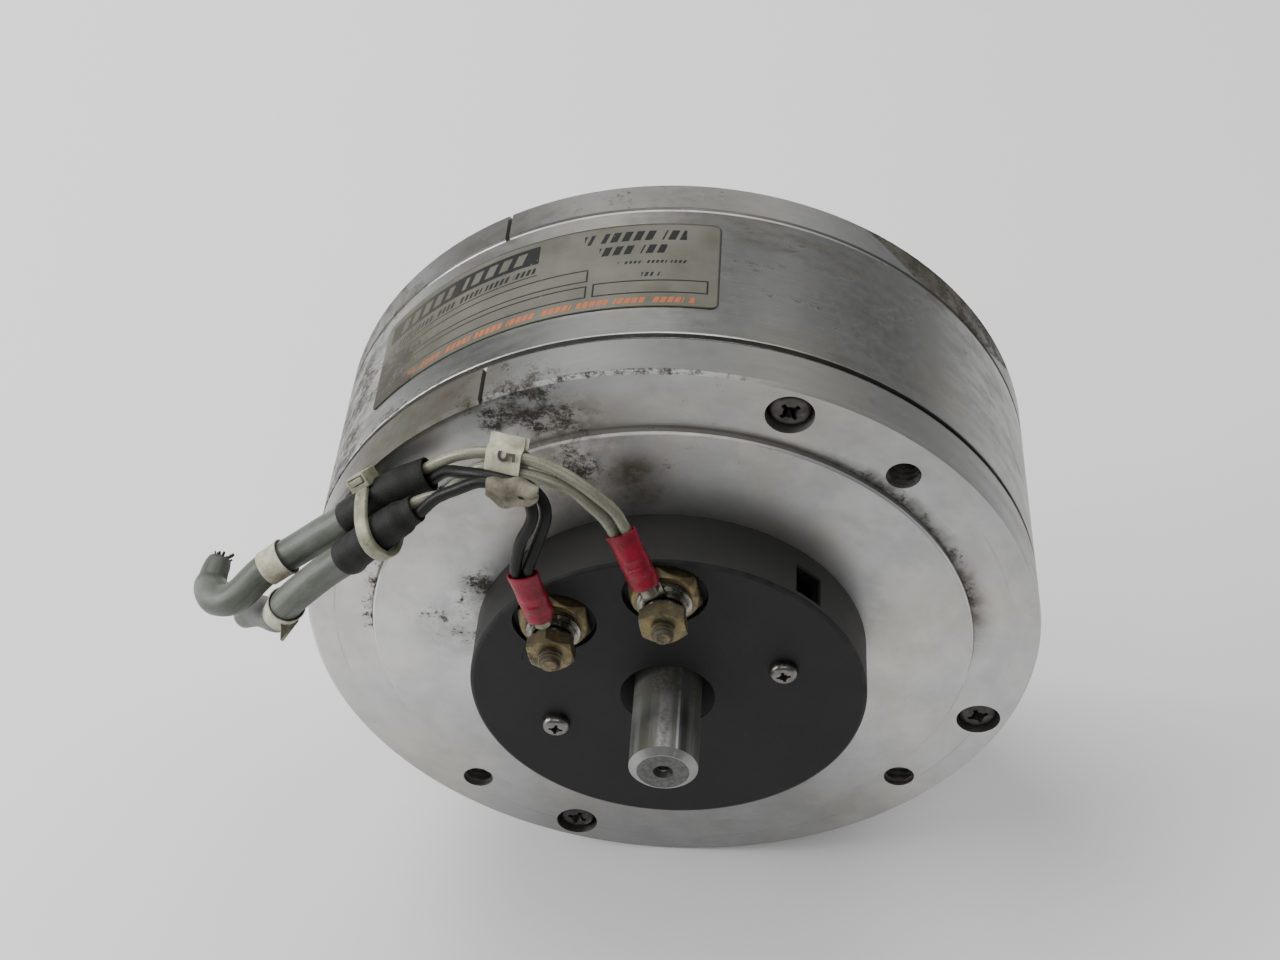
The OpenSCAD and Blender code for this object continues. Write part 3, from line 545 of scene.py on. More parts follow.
def face_shade(spot):
    """Painted shade and highlights on the front plate: darker above and below than at its sides,
    darker still on its rim and on its back face in the groove, with painted highlights on the rim's
    chamfer and the pilot's edge. It also darkens a patch of the rim to the upper left.
    """
    # Painted shade on the rim, the pilot's side wall and the back face in the groove; painted
    # highlights on the rim's chamfer and along the pilot's edge
    rim = (spot.depth > 0.00034) * (spot.radius > 0.0690)
    bevel = rim * (spot.depth < 0.00062) * smooth_range(spot.angle, 126.0, 108.0)
    wall = (spot.depth < -0.0001) * (spot.depth > PILOT_Y + 0.00025)
    crest = (spot.radius > PILOT_RADIUS - 0.00032) * (spot.depth < PILOT_Y + 0.00042)
    back = spot.depth > FRONT_THICKNESS - 0.0002
    left_rim = zone(spot.angle, 134, 26, spot.radius, 0.0703, 0.003)
    shade = strongest(rim * 0.34, wall * 0.05, back * 0.9, left_rim * 0.62)
    shade = shade - strongest(bevel, crest) * 0.42
    # Painted light and shade by angle: lighter at the sides, darker below
    left = smooth_range(abs(spot.angle), 138.0, 172.0, 0.0, 0.20)
    right = window(spot.angle, -14, 36, 26) * 0.14
    below = window(spot.angle, -84, 50, 30) * 0.25
    return (0.81 + left + right - below) * (1.0 - shade)


def rear_shade(spot):
    """Painted shade and a highlight on the rear plate: darker to the right and to the left of its
    top, and on the chamfer at the joint, with one painted highlight along the joint. Towards the
    middle it fades to an even tone.
    """
    back_tone = 0.72
    # A painted highlight along the joint and painted shade on the chamfer beside it
    line = spot.depth < RING_END + 0.0003
    bevel = (spot.depth < RING_END + 0.0007) - line
    # Painted shade to either side of the top
    shade = (smooth_range(spot.angle, 125.0, 80.0, 0.56, 0.84)
             - smooth_range(spot.angle, 74.0, 42.0, 0.0, 0.24))
    shade = shade + line * smooth_range(spot.angle, 50.0, 74.0, 0.2, 1.05) - bevel * 0.35
    rim = smooth_range(spot.radius, 0.050, 0.068)
    return (shade - back_tone) * rim + back_tone


def band_shade(spot):
    """Painted shade and highlights on the housing ring: darker to the right, at the left, on a
    strip below the label and in the groove, and darker on the chamfer at its rear joint, with a
    painted highlight along its front edge.
    """
    # A painted highlight along the front edge and painted shade on the rear chamfer
    edge = spot.depth < BAND_Y + 0.00035
    joint = spot.depth > RING_END - 0.00055
    # Painted shade to the right, at the left, below the label and in the groove
    right = (smooth_range(spot.angle, 97.0, 80.0, 0.0, 0.44)
             - smooth_range(spot.angle, 72.0, 32.0, 0.0, 0.36))
    left = window(spot.angle, 160, 20, 10) * 0.24
    strip = (smooth_range(spot.depth, 0.0175, 0.0150, 0.0, 0.33)
             * window(spot.angle, 120, 34, 14))
    groove = smooth_range(spot.radius, 0.0696, 0.0694, 0.0, 0.6)
    shade = 0.95 - strongest(left, right, strip, groove)
    return shade + edge * smooth_range(spot.angle, 45.0, 80.0, 0.2, 1.0) - joint * 0.5


def band_edge(spot):
    """A small chamfer on the band's front edge."""
    return calc("MINIMUM", spot.depth - BAND_Y, 0.0004)


def face_dirt_and_shade(place, spot):
    """Front plate: specks of dirt round the slot, on the left and at the pilot's foot, and a
    witness line. Its dark film is partly dirt and partly painted shade: round the slot, above the
    brush cover, at the pilot's foot and edge, and over the top of the plate.
    """
    def patch(x, z, reach, y=0.0):
        """A patch round a point, in millimetres."""
        return near(place, (x * MM, y * MM, z * MM), reach * MM)

    raised = PILOT_Y / MM
    slot_dirt = strongest(
        patch(-24, 60.5, 12), patch(-29, 61.5, 11), patch(-25, 66.5, 11, 1),
        strongest(patch(-25, 58.5, 9), patch(-19.5, 57.5, 8), patch(-30.5, 58, 8)) * 1.2,
        patch(-19, 54, 9) * 0.7, patch(-37, 60, 12) * 0.7)
    pilot_dirt = strongest(
        patch(-35, 16, 8.5, raised) * 1.6, patch(-17, 48, 11, raised) * 1.15,
        patch(-40.5, 4, 14, raised) * 0.8) * 0.85
    bevel = zone(spot.angle, 102, 30, spot.radius, 0.0696, 0.0008) * (spot.depth < 0.0009)
    rim = zone(spot.angle, 120, 22, spot.radius, 0.0702, 0.0022)
    outside = spot.depth > -0.0003
    # The pilot's foot: specks of dirt, and on the right a film that is partly painted shade
    foot = outside * smooth_range(spot.radius, PILOT_RADIUS, PILOT_RADIUS + 0.0045, 1.0, 0.0)
    right_foot = foot * window(spot.angle, 36, 42, 22)
    left_foot = foot * smooth_range(abs(spot.angle - 160), 20.0, 34.0, 0.9, 0.0)
    upper = zone(spot.angle, 110, 55, spot.radius, 0.058, 0.02)
    level = strongest(slot_dirt, pilot_dirt, strongest(rim * 0.55, bevel * 0.85), left_foot,
                      right_foot * 0.6, upper * 0.18)
    cloud = smooth_range(noise(place, 240.0, 5, 0.65), 0.36, 0.66)
    # A dark film round the slot and above the brush cover, partly dirt and partly painted shade of
    # the cover, heaviest just above the cover
    smoke_and_shade = strongest(
        slot_dirt, pilot_dirt * 0.6, patch(-20, 57, 17) * 0.9, patch(-14, 46, 22, raised) * 0.7,
        patch(-17, 47.5, 12, raised)) * eased(cloud, 0.25, 1.0)
    cover_shade_and_smudge = strongest(patch(-7.3, 46.8, 11, raised), patch(-5.8, 42, 10, raised))
    smoke_and_shade = strongest(smoke_and_shade, cover_shade_and_smudge * eased(cloud, 1.0, 1.25))
    left_rim = zone(spot.angle, 133, 30, spot.radius, 0.0703, 0.003)
    # Painted shade over the top of the plate, and a thin ring of painted shade at the pilot's foot
    height = split_xyz(place)[2]
    corner = outside * window(spot.radius, PILOT_RADIUS + 0.0001, 0.0004, 0.0002)
    witness = (window(spot.radius, WITNESS_RADIUS, 0.00016, 0.0001)
               * smooth_range(noise(place, 60.0), 0.45, 0.6))
    film = strongest(
        smoke_and_shade * 0.85, right_foot * eased(cloud, 0.5, 0.9), left_rim * eased(cloud, 0.75, 1.0),
        smooth_range(height, 0.015, 0.065, 0.0, 0.26), corner * 0.5, witness * 0.25)
    return specks(place, level, 1600.0), film


def band_grime(place, spot):
    """Housing ring: oil ahead of the rear joint, a smeared left side and small dark nicks."""
    smear = combined(spot.angle * 0.0006, spot.depth, spot.radius)
    cloud = smooth_range(noise(smear, 230.0, 5, 0.65), 0.42, 0.66)
    left = window(spot.angle, 158, 22, 14)
    rear_oil = zone(spot.angle, 62, 36, spot.depth, 0.0400, 0.0085)
    low_oil = zone(spot.angle, 30, 22, spot.depth, 0.030, 0.02)
    film = cloud * strongest(rear_oil * 0.75, left * 0.9, low_oil * 0.35)
    edge = zone(spot.angle, 140, 30, spot.depth, 0.0112, 0.0035)
    faint = zone(spot.angle, 62, 45, spot.depth, 0.030, 0.02)
    return specks(smear, strongest(edge * 0.7, faint * 0.36, left * 0.85), 1200.0), film


def rear_grime(place, spot):
    """Rear plate: a dark oily edge on the right and a few smudges on top."""
    cloud = smooth_range(noise(place, 150.0, 4), 0.34, 0.6)
    rim = smooth_range(spot.radius, 0.0655, 0.0690)
    reach = BACK_Y - 0.0080 * window(spot.angle, 42, 24, 17)
    edge = smooth_range(spot.depth - reach, 0.0, 0.0010) * window(spot.angle, 44, 25, 8) * rim
    left = window(spot.angle, 151, 29, 20) * rim
    film = strongest(edge * eased(cloud, 0.8, 1.0), cloud * 0.12, left * (cloud * 0.7))
    top = zone(spot.angle, 100, 30, spot.depth, 0.048, 0.005)
    return specks(place, strongest(edge * 0.9, left * 0.6, top * 0.42), 1100.0), film


def stud_dirt_and_shade(place, _):
    """Terminal hardware: specks and a film of dirt, darker in the corners, in the thread grooves,
    round the studs and where pieces meet, which is partly dirt and partly painted shade.
    """
    corner_dirt_and_shade, root_dirt_and_shade = [], []
    flat = stretched(place, (1, 0, 1))
    for angle in STUD_ANGLES:
        away = distance(flat, polar(angle, STUD_RADIUS, 0))
        # Partly dirt and partly painted shade: in the thread grooves, round each stud and in rings
        # where pieces meet
        root_dirt_and_shade.append(window(away, CORE_RADIUS, 0.00036, 0.00012))
        corner_dirt_and_shade += [smooth_range(away, 0.0019, 0.0031, 0.9, 0.0),
                 window(away, 0.0046, 0.0012, 0.0009),
                 window(away, 0.0068, 0.0013, 0.0010) * 0.8]
    cloud = smooth_range(noise(place, 520.0, 5, 0.65), 0.38, 0.6)
    film = strongest(strongest(*corner_dirt_and_shade) * eased(cloud, 0.3, 0.85), cloud * 0.35)
    return strongest(strongest(*root_dirt_and_shade) * 0.75, specks(place, 0.55, 1500.0)), film


def shaft_material():
    """Ground shaft with lengthwise streaks, painted reflections and highlights along it, darker and
    less metallic near the cover, and a mottled end with painted shade in its centre hole.
    """
    material, shader, place = new_material("ground_shaft")
    spot = about_shaft(place)
    streak = noise(stretched(place, (1, 0.05, 1)), 900.0, 3, 0.6)
    mottle = noise(place, 1100.0, 5, 0.7)
    colour = colour_mix(smooth_range(streak, 0.36, 0.62), (0.23, 0.23, 0.205), (0.34, 0.34, 0.32))
    # Painted reflections along the shaft: dark stripes at 56 and 126 degrees, a painted highlight
    # along the top at 91 degrees and a thin painted glint at 68 degrees
    for angle, half, tone, share in [
            (56, 9, (0.10, 0.10, 0.105), 0.9), (126, 14, (0.16, 0.165, 0.13), 0.7),
            (91, 15, (0.66, 0.65, 0.64), smooth_range(mottle, 0.36, 0.58, 0.35, 1.0)),
            (68, 3, (0.9, 0.9, 0.9), 0.8)]:
        colour = colour_mix(window(spot.angle, angle, half, half * 0.6) * share, colour, tone)
    # Darker and less metallic over the stretch nearest the cover
    oily = (smooth_range(spot.depth, -0.0235, -0.0155)
            * smooth_range(mottle, 0.2, 0.55, 0.5, 1.0))
    front = spot.depth < SHAFT_END_Y
    rim = front * smooth_range(mottle, 0.3, 0.6, 0.7, 1.0)
    end = front * (spot.radius < 0.0048)
    pitted = colour_mix(smooth_range(mottle, 0.4, 0.62), (0.07, 0.07, 0.07), (0.12, 0.12, 0.115))
    # Painted shade in the centre hole
    centre_hole = front * (spot.radius < 0.00186)
    colour = layered(colour, (oily, (0.10, 0.10, 0.085)), (rim, (0.27, 0.27, 0.265)),
                     (end, pitted), (centre_hole * 0.8, (0.02, 0.02, 0.02)))
    feed(shader, {"Base Color": colour, "Metallic": 1.0 - strongest(oily * 0.75, end * 0.5),
                  "Roughness": between(mottle, 0.28, 0.5) + end * 0.15,
                  "Normal": bump(streak * 0.5 + mottle, 0.00004)})
    return material


def moulded(name, light, dark, rough, scale=300.0, depth=0.00003, specular=0.5, dirt=0.0,
            streaks=False):
    """Plastic with blotches in its colour, a fine moulded or rubbed surface and some dirt.

    streaks run along a cord, by its UV map.
    """
    material, shader, place = new_material(name, specular)
    blotch = blotches(place, scale, 0.8)
    if streaks:
        u, v = layout_of(material)
        turn = u * (2 * math.pi)
        along = combined(calc("COSINE", turn), calc("SINE", turn), v * 45.0)
        blotch = blotch * 0.45 + smooth_range(noise(along, 2.6, 4, 0.6), 0.38, 0.62) * 0.55
    fine = noise(place, scale * 6, 3)
    colour = colour_mix(blotch, dark, light)
    if dirt:
        colour = colour_mix(specks(place, dirt, 1300.0) * 0.8, colour, (0.045, 0.04, 0.03))
    feed(shader, {"Base Color": colour, "Roughness": between(fine, rough - 0.08, rough + 0.1),
                  "Normal": bump(fine, depth)})
    return material


def cover_material():
    """Black moulding: faintly mottled, dusty, rubbed at its edge, with one small scratch, and
    painted light on its side wall and in its bore.
    """
    material, shader, place = new_material("brush_cover_moulding", 0.24)
    spot = about_shaft(place)
    blotch = blotches(place, 90.0, 0.9)
    # Painted light: the side wall is coloured lighter than the face
    wall = (spot.depth > COVER_Y + 0.0007) * (spot.radius > COVER_RADIUS - 0.0006)
    dust = smooth_range(noise(place, 700.0, 6, 0.75), 0.66, 0.74)
    rub = (window(spot.radius, COVER_RADIUS - 0.0002, 0.0008, 0.0006)
           * window(spot.depth, COVER_Y + 0.0003, 0.0008, 0.0006)
           * smooth_range(noise(place, 260.0, 4), 0.4, 0.65))
    # Painted light in the bore, which lifts its shade
    bore = (spot.radius < 0.0105) * (spot.depth > COVER_Y + 0.0002)
    x, _, z = split_xyz(place)
    away = distance(place, (-0.0215, COVER_Y, 0.0095))
    scratch = window(away, 0.0052, 0.00022, 0.00012) * (x < -0.0250) * (z > 0.0088)
    colour = layered(
        colour_mix(blotch, (0.0092, 0.0092, 0.0092), (0.0132, 0.0132, 0.0130)),
        (wall * 0.8, (0.050, 0.049, 0.047)), (dust * 0.3, (0.12, 0.12, 0.11)),
        (rub * 0.14, (0.08, 0.08, 0.078)), (bore, (0.10, 0.10, 0.10)),
        (scratch * 0.8, (0.006, 0.006, 0.006)))
    feed(shader, {"Base Color": colour, "Roughness": between(blotch, 0.5, 0.62),
                  "Normal": bump(noise(place, 2600.0, 3) - scratch * 4, 0.00003)})
    return material


def floor_material():
    """Pale paper, with painted light that makes it a little brighter to the left."""
    material, shader, place = new_material("studio_floor", 0.3)
    # Painted light: the tone falls from left to right
    tone = smooth_range(split_xyz(place)[0], -0.25, 0.25, 0.92, 0.83)
    feed(shader, {"Base Color": grey(tone + noise(place, 40.0) * 0.01), "Roughness": 0.8})
    return material


# The front plate, housing ring and rear plate take painted shade and highlights from their shade
# functions
FACE = worn_metal("turned_face", (0.61, 0.605, 0.585), (0.545, 0.545, 0.53), 0.38, 70, 0.6,
                  face_dirt_and_shade, face_shade)
BAND = worn_metal("housing_band", (0.42, 0.42, 0.395), (0.35, 0.35, 0.33), 0.36, 60, 0.8,
                  band_grime, band_shade, band_edge)
REAR = worn_metal("rear_rim", (0.48, 0.48, 0.465), (0.40, 0.40, 0.385), 0.38, 60, 0.8, rear_grime,
                  rear_shade)
INNER_STEEL = worn_metal("inner_steel", (0.26, 0.26, 0.27), (0.18, 0.18, 0.19), 0.5)
MAGNET = worn_metal("ground_magnet", (0.36, 0.36, 0.37), (0.28, 0.28, 0.29), 0.45)
SCREW = worn_metal("plated_screw", (0.23, 0.222, 0.208), (0.085, 0.08, 0.07), 0.3, 500)
PLATED = worn_metal("plated_washer", (0.36, 0.35, 0.32), (0.12, 0.112, 0.09), 0.24, 450)
DULL_SCREW = worn_metal("dulled_screw", (0.085, 0.081, 0.072), (0.032, 0.030, 0.026), 0.34, 600)
# A dark metal for the screw recesses and the mounting holes' threads: dirt in the recesses, and
# painted shade in both
RECESS_DIRT_AND_SHADE = worn_metal("recess_dirt_and_shade", (0.09, 0.085, 0.075), (0.04, 0.037, 0.032), 0.5, 800)
BEARING = worn_metal("bearing_steel", (0.66, 0.66, 0.67), (0.56, 0.56, 0.57), 0.22)
# Brass darkened by dirt and by painted shade where its pieces meet
BRASS = worn_metal("brass_with_dirt_and_shade", (0.26, 0.205, 0.10), (0.11, 0.085, 0.04), 0.36, 420, 0.0,
                   stud_dirt_and_shade)
TINNED = worn_metal("tinned_metal", (0.25, 0.235, 0.19), (0.09, 0.08, 0.06), 0.3, 500)
COPPER = worn_metal("bonded_copper", (0.55, 0.30, 0.16), (0.42, 0.22, 0.12), 0.5)
STRAND = worn_metal("dull_strand", (0.10, 0.085, 0.075), (0.03, 0.027, 0.025), 0.5, 900)
SHAFT = shaft_material()
COVER = cover_material()
BROWN = moulded("holder_phenolic", (0.16, 0.09, 0.05), (0.11, 0.06, 0.035), 0.5)
CARBON = moulded("pressed_carbon", (0.05, 0.05, 0.055), (0.03, 0.03, 0.034), 0.6)
RED = moulded("red_vinyl", (0.24, 0.007, 0.024), (0.12, 0.0045, 0.013), 0.30, 420, 0.00006,
              specular=0.32)
PALE = moulded("pale_insulation", (0.25, 0.25, 0.195), (0.13, 0.13, 0.09), 0.26, 260, dirt=0.3,
               streaks=True)
BLACK = moulded("black_insulation", (0.0100, 0.0106, 0.0090), (0.0055, 0.0058, 0.0050), 0.38,
                specular=0.19, streaks=True)
JACKET = moulded("grey_jacket", (0.108, 0.117, 0.096), (0.056, 0.062, 0.048), 0.48, 160, dirt=0.25,
                 streaks=True)
SHRINK = moulded("shrink_tube", (0.0175, 0.0177, 0.0155), (0.0085, 0.0085, 0.0075), 0.56, 500,
                 0.0001, specular=0.18)
CLOTH = moulded("marker_cloth", (0.50, 0.48, 0.375), (0.31, 0.285, 0.20), 0.6, 500, 0.00008,
                dirt=0.35)
AGED_CLOTH = moulded("aged_marker_cloth", (0.205, 0.190, 0.138), (0.088, 0.078, 0.050), 0.6, 450,
                     0.00015, dirt=0.5)
NYLON = moulded("tie_nylon", (0.30, 0.30, 0.215), (0.15, 0.15, 0.09), 0.34, 420, 0.00005, dirt=0.45)
INK = moulded("marker_ink", (0.085, 0.065, 0.06), (0.04, 0.03, 0.03), 0.6)
FLOOR = floor_material()

FINISHES = {
    FACE: ["front_plate"], BAND: ["housing_ring"], REAR: ["rear_plate"],
    INNER_STEEL: ["front_flux_ring", "rear_flux_plate", "brush_springs", "preload_washer",
                  "bearing_retaining_ring", "shaft_retaining_ring", "clamp_ring"],
    MAGNET: ["magnets"], SCREW: ["housing_screws", "cover_screws", "clamp_screws"],
    COVER: ["brush_cover"], BROWN: ["brush_holders"],
    BRASS: ["brush_caps", "terminal_nuts"], PLATED: ["terminal_washers", "lock_washers"],
    CARBON: ["brushes"], TINNED: ["ring_terminals"], RED: ["terminal_sleeves"],
    BEARING: ["front_bearing_outer", "front_bearing_inner", "front_bearing_balls",
              "rear_bearing_outer", "rear_bearing_inner", "rear_bearing_balls",
              "bearing_shields"],
    SHAFT: ["shaft", "armature_hub"], COPPER: ["armature_disc"],
    PALE: ["pale_lead_upper", "pale_lead_lower"], BLACK: ["black_lead_upper", "black_lead_lower"],
    SHRINK: ["shrink_sleeve_upper", "shrink_sleeve_lower"],
    JACKET: ["cable_upper", "cable_lower"],
    CLOTH: ["marker_band_upper", "marker_band_lower", "lead_flag", "folded_flag"],
    NYLON: ["cable_tie"],
}


def coat_with(piece, *materials):
    piece.data.materials.clear()
    for material in materials:
        piece.data.materials.append(material)
    return piece


for finish, names in FINISHES.items():
    for name in names:
        coat_with(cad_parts[name], finish)


# Modelling helpers

def start(name, primitive, **settings):
    """Adds a primitive, which is then the only object selected."""
    bpy.ops.object.select_all(action="DESELECT")
    primitive(**settings)
    piece = bpy.context.object
    piece.name = name
    return piece


def only(piece):
    """Makes a piece the only one selected, and the active one."""
    bpy.ops.object.select_all(action="DESELECT")
    piece.select_set(True)
    bpy.context.view_layer.objects.active = piece


def edit(kind="VERT"):
    bpy.ops.object.mode_set(mode="EDIT")
    bpy.ops.mesh.select_mode(type=kind)


def leave_edit():
    bpy.ops.object.mode_set(mode="OBJECT")


def pick(piece, kind, test):
    """Goes into edit mode with the faces or edges selected whose middle and direction pass."""
    edit(kind)
    bpy.ops.mesh.select_all(action="DESELECT")
    leave_edit()
    if kind == "FACE":
        for face in piece.data.polygons:
            face.select = test(face.center, face.normal)
    else:
        spots = [vertex.co for vertex in piece.data.vertices]
        for line in piece.data.edges:
            a, b = (spots[k] for k in line.vertices)
            line.select = test((a + b) / 2, (b - a).normalized())
    bpy.ops.object.mode_set(mode="EDIT")


def underside(_, way):
    """A test for pick, which only faces that look down pass."""
    return way.z < -0.99


def modify(piece, kind, **settings):
    """Adds a modifier and applies it."""
    only(piece)
    modifier = piece.modifiers.new(kind.lower(), kind)
    for key, value in settings.items():
        setattr(modifier, key, value)
    bpy.ops.object.modifier_apply(modifier=modifier.name)


def cut(piece, cutter, operation="DIFFERENCE"):
    modify(piece, "BOOLEAN", object=cutter, operation=operation, solver="EXACT")
    bpy.data.objects.remove(cutter)


def soften(piece, width, angle, segments=2):
    """Rounds the edges that are sharper than an angle."""
    modify(piece, "BEVEL", width=width, segments=segments, limit_method="ANGLE",
           angle_limit=math.radians(angle))


def tidy_mesh(piece, angle=35.0):
    """Merges doubles, turns faces outwards and shades by angle."""
    only(piece)
    edit()
    bpy.ops.mesh.select_all(action="SELECT")
    bpy.ops.mesh.remove_doubles(threshold=0.000002)
    bpy.ops.mesh.normals_make_consistent(inside=False)
    leave_edit()
    bpy.ops.object.shade_smooth_by_angle(angle=math.radians(angle))


def apply_place(piece):
    only(piece)
    bpy.ops.object.transform_apply(location=True, rotation=True, scale=True)


def block(name, size, place=(0, 0, 0)):
    piece = start(name, bpy.ops.mesh.primitive_cube_add, size=1, location=place)
    piece.scale = size
    apply_place(piece)
    return piece


def wind(section, angle, rise, turns, steps):
    """Winds a flat section about Z, turn by turn and rising, and closes its two ends."""
    modify(section, "SCREW", axis="Z", angle=angle, screw_offset=rise, iterations=turns,
           steps=steps, render_steps=steps, use_normal_calculate=True)
    edit("EDGE")
    bpy.ops.mesh.select_all(action="DESELECT")
    bpy.ops.mesh.select_non_manifold()
    bpy.ops.mesh.edge_face_add()
    leave_edit()
    tidy_mesh(section, 30)


def mesh_piece(name, points, faces):
    mesh = bpy.data.meshes.new(name)
    mesh.from_pydata(points, [], faces)
    piece = bpy.data.objects.new(name, mesh)
    bpy.context.collection.objects.link(piece)
    return piece


def joined(name, pieces):
    only(pieces[0])
    for piece in pieces:
        piece.select_set(True)
    bpy.ops.object.join()
    pieces[0].name = name
    return pieces[0]


def finished(piece, slot, *replaced):
    """Gives a piece its body and hides the frame's nodes that it stands for. slot is not used."""
    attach(piece, "stator")
    if replaced:
        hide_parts(*replaced)
    return piece


def copies(model, name, places, slot, *replaced):
    """One copy of a model at each place, each with its own mesh. The model itself goes."""
    for k, place in enumerate(places, 1):
        piece = model.copy()
        piece.data = model.data.copy()
        piece.name = f"{name}_{k}"
        piece.data.transform(place)
        bpy.context.collection.objects.link(piece)
        finished(piece, slot, *replaced)
    bpy.data.objects.remove(model)


# Screws

def cross_cutter(head, height):
    """A tapered cross with a deeper middle, which cuts a screwdriver's recess."""
    arms = []
    for turn in (0, 90):
        arm = block("arm", (head * 0.60, head * 0.12, height * 1.1), (0, 0, height * 0.85))
        pick(arm, "FACE", underside)
        bpy.ops.transform.resize(value=(0.55, 0.6, 1), center_override=(0, 0, 0))
        leave_edit()
        arm.rotation_euler.z = math.radians(turn)
        apply_place(arm)
        arms.append(arm)
    pit = start("pit", bpy.ops.mesh.primitive_cone_add, vertices=16, radius1=head * 0.05,
                radius2=head * 0.19, depth=height * 1.1, location=(0, 0, height * 0.75))
    return [*arms, pit]


def pan_screw(name, size, metal):
    """A pan-head screw with a cross recess, its seat at the origin and its head towards +Z."""
    head, height = size["head"], size["height"]
    screw = start(name, bpy.ops.mesh.primitive_cylinder_add, vertices=48, radius=head / 2,
                  depth=height, location=(0, 0, height / 2))
    apply_place(screw)
    pick(screw, "EDGE", lambda middle, way: middle.z > height * 0.99)
    bpy.ops.mesh.bevel(offset=height * 0.66, segments=7, profile=0.52, affect="EDGES")
    pick(screw, "FACE", lambda middle, way: middle.z > height * 0.995)
    bpy.ops.mesh.inset(thickness=head * 0.12, depth=height * 0.05)
    pick(screw, "FACE", underside)
    bpy.ops.mesh.inset(thickness=(head - size["shank"]) / 2)
    bpy.ops.mesh.extrude_region_move(TRANSFORM_OT_translate={"value": (0, 0, -size["length"])})
    bpy.ops.mesh.inset(thickness=size["shank"] * 0.1)
    bpy.ops.transform.translate(value=(0, 0, -size["shank"] * 0.1))
    leave_edit()
    # The cross recess takes the dark recess metal: dirt with painted shade
    coat_with(screw, metal, RECESS_DIRT_AND_SHADE)
    for cutter in cross_cutter(head, height):
        coat_with(cutter, RECESS_DIRT_AND_SHADE)
        cut(screw, cutter)
    tidy_mesh(screw, 30)
    return screw


def add_screws(name, size, metal, node):
    places = [facing_front(polar(size["angle"] + k * 360 / size["count"], size["radius"],
                                 size["seat"]), size["turns"][k]) for k in range(size["count"])]
    copies(pan_screw(name, size, metal), name, places, "screw_steel", node)


add_screws("housing_screw", HOUSING_SCREWS, DULL_SCREW, "housing_screws")
add_screws("cover_screw", COVER_SCREWS, SCREW, "cover_screws")


# Threads, terminal posts and lock washers

def thread_ridge(name, crest, pitch, turns, bottom, inwards=False):
    """A helical ridge of a 60 degree thread about Z, from the height bottom upwards."""
    reach = pitch / math.sqrt(3)
    middle = crest + reach if inwards else crest - reach
    ridge = start(name, bpy.ops.mesh.primitive_circle_add, vertices=3, radius=reach,
                  location=(middle, 0, bottom), rotation=(math.pi / 2, 0, 0))
    apply_place(ridge)
    edit()
    bpy.ops.mesh.select_all(action="SELECT")
    turn = math.radians(90 if inwards else -90)
    bpy.ops.transform.rotate(value=turn, orient_axis="Y", center_override=(middle, 0, bottom))
    leave_edit()
    wind(ridge, 2 * math.pi, pitch, turns, steps=28)
    return ridge


def terminal_post():
    """Brush cap with its hexagon, plug and threaded stud, the recess floor at z = 0."""
    cap = start("cap", bpy.ops.mesh.primitive_cylinder_add, vertices=6, depth=CAP_THICKNESS,
                radius=CAP_ACROSS / 2 / math.cos(math.radians(30)),
                location=(0, 0, CAP_THICKNESS / 2))
    apply_place(cap)
    pick(cap, "EDGE", lambda middle, way: abs(way.z) > 0.9)
    bpy.ops.mesh.bevel(offset=0.00025, segments=2, affect="EDGES")
    leave_edit()
    corners = start("corners", bpy.ops.mesh.primitive_cone_add, vertices=96,
                    radius1=CAP_ACROSS * 0.64, radius2=CAP_ACROSS * 0.475,
                    depth=CAP_THICKNESS, location=(0, 0, CAP_THICKNESS / 2))
    pick(corners, "FACE", underside)
    bpy.ops.transform.resize(value=(1.25, 1.25, 1), center_override=(0, 0, 0))
    bpy.ops.transform.translate(value=(0, 0, -CAP_THICKNESS))
    leave_edit()
    cut(cap, corners, "INTERSECT")
    soften(cap, EDGE_ROUND, 25)
    pick(cap, "FACE", underside)
    bpy.ops.mesh.inset(thickness=CAP_ACROSS / 2 - PLUG_RADIUS)
    bpy.ops.mesh.extrude_region_move(TRANSFORM_OT_translate={"value": (0, 0, -PLUG_LENGTH)})
    leave_edit()
    stud = start("stud", bpy.ops.mesh.primitive_cylinder_add, vertices=32, radius=CORE_RADIUS,
                 depth=STUD_TIP - STUD_FOOT, location=(0, 0, (STUD_TIP + STUD_FOOT) / 2))
    apply_place(stud)
    pick(stud, "EDGE", lambda middle, way: middle.z > STUD_TIP * 0.99)
    bpy.ops.mesh.bevel(offset=0.0004, segments=3, affect="EDGES")
    leave_edit()
    ridge = thread_ridge("ridge", THREAD_RADIUS, THREAD_PITCH, turns=11, bottom=0.0026)
    tidy_mesh(cap)
    tidy_mesh(stud)
    return coat_with(joined("terminal_post", [cap, stud, ridge]), BRASS)


def at_studs(y, turns):
    """Places on the two studs at a depth, each with its own turn."""
    return [facing_front(polar(angle, STUD_RADIUS, y), turn)
            for angle, turn in zip(STUD_ANGLES, turns)]


copies(terminal_post(), "terminal_post", at_studs(RECESS_Y, (12, 8)), "dull_brass", "brush_caps")


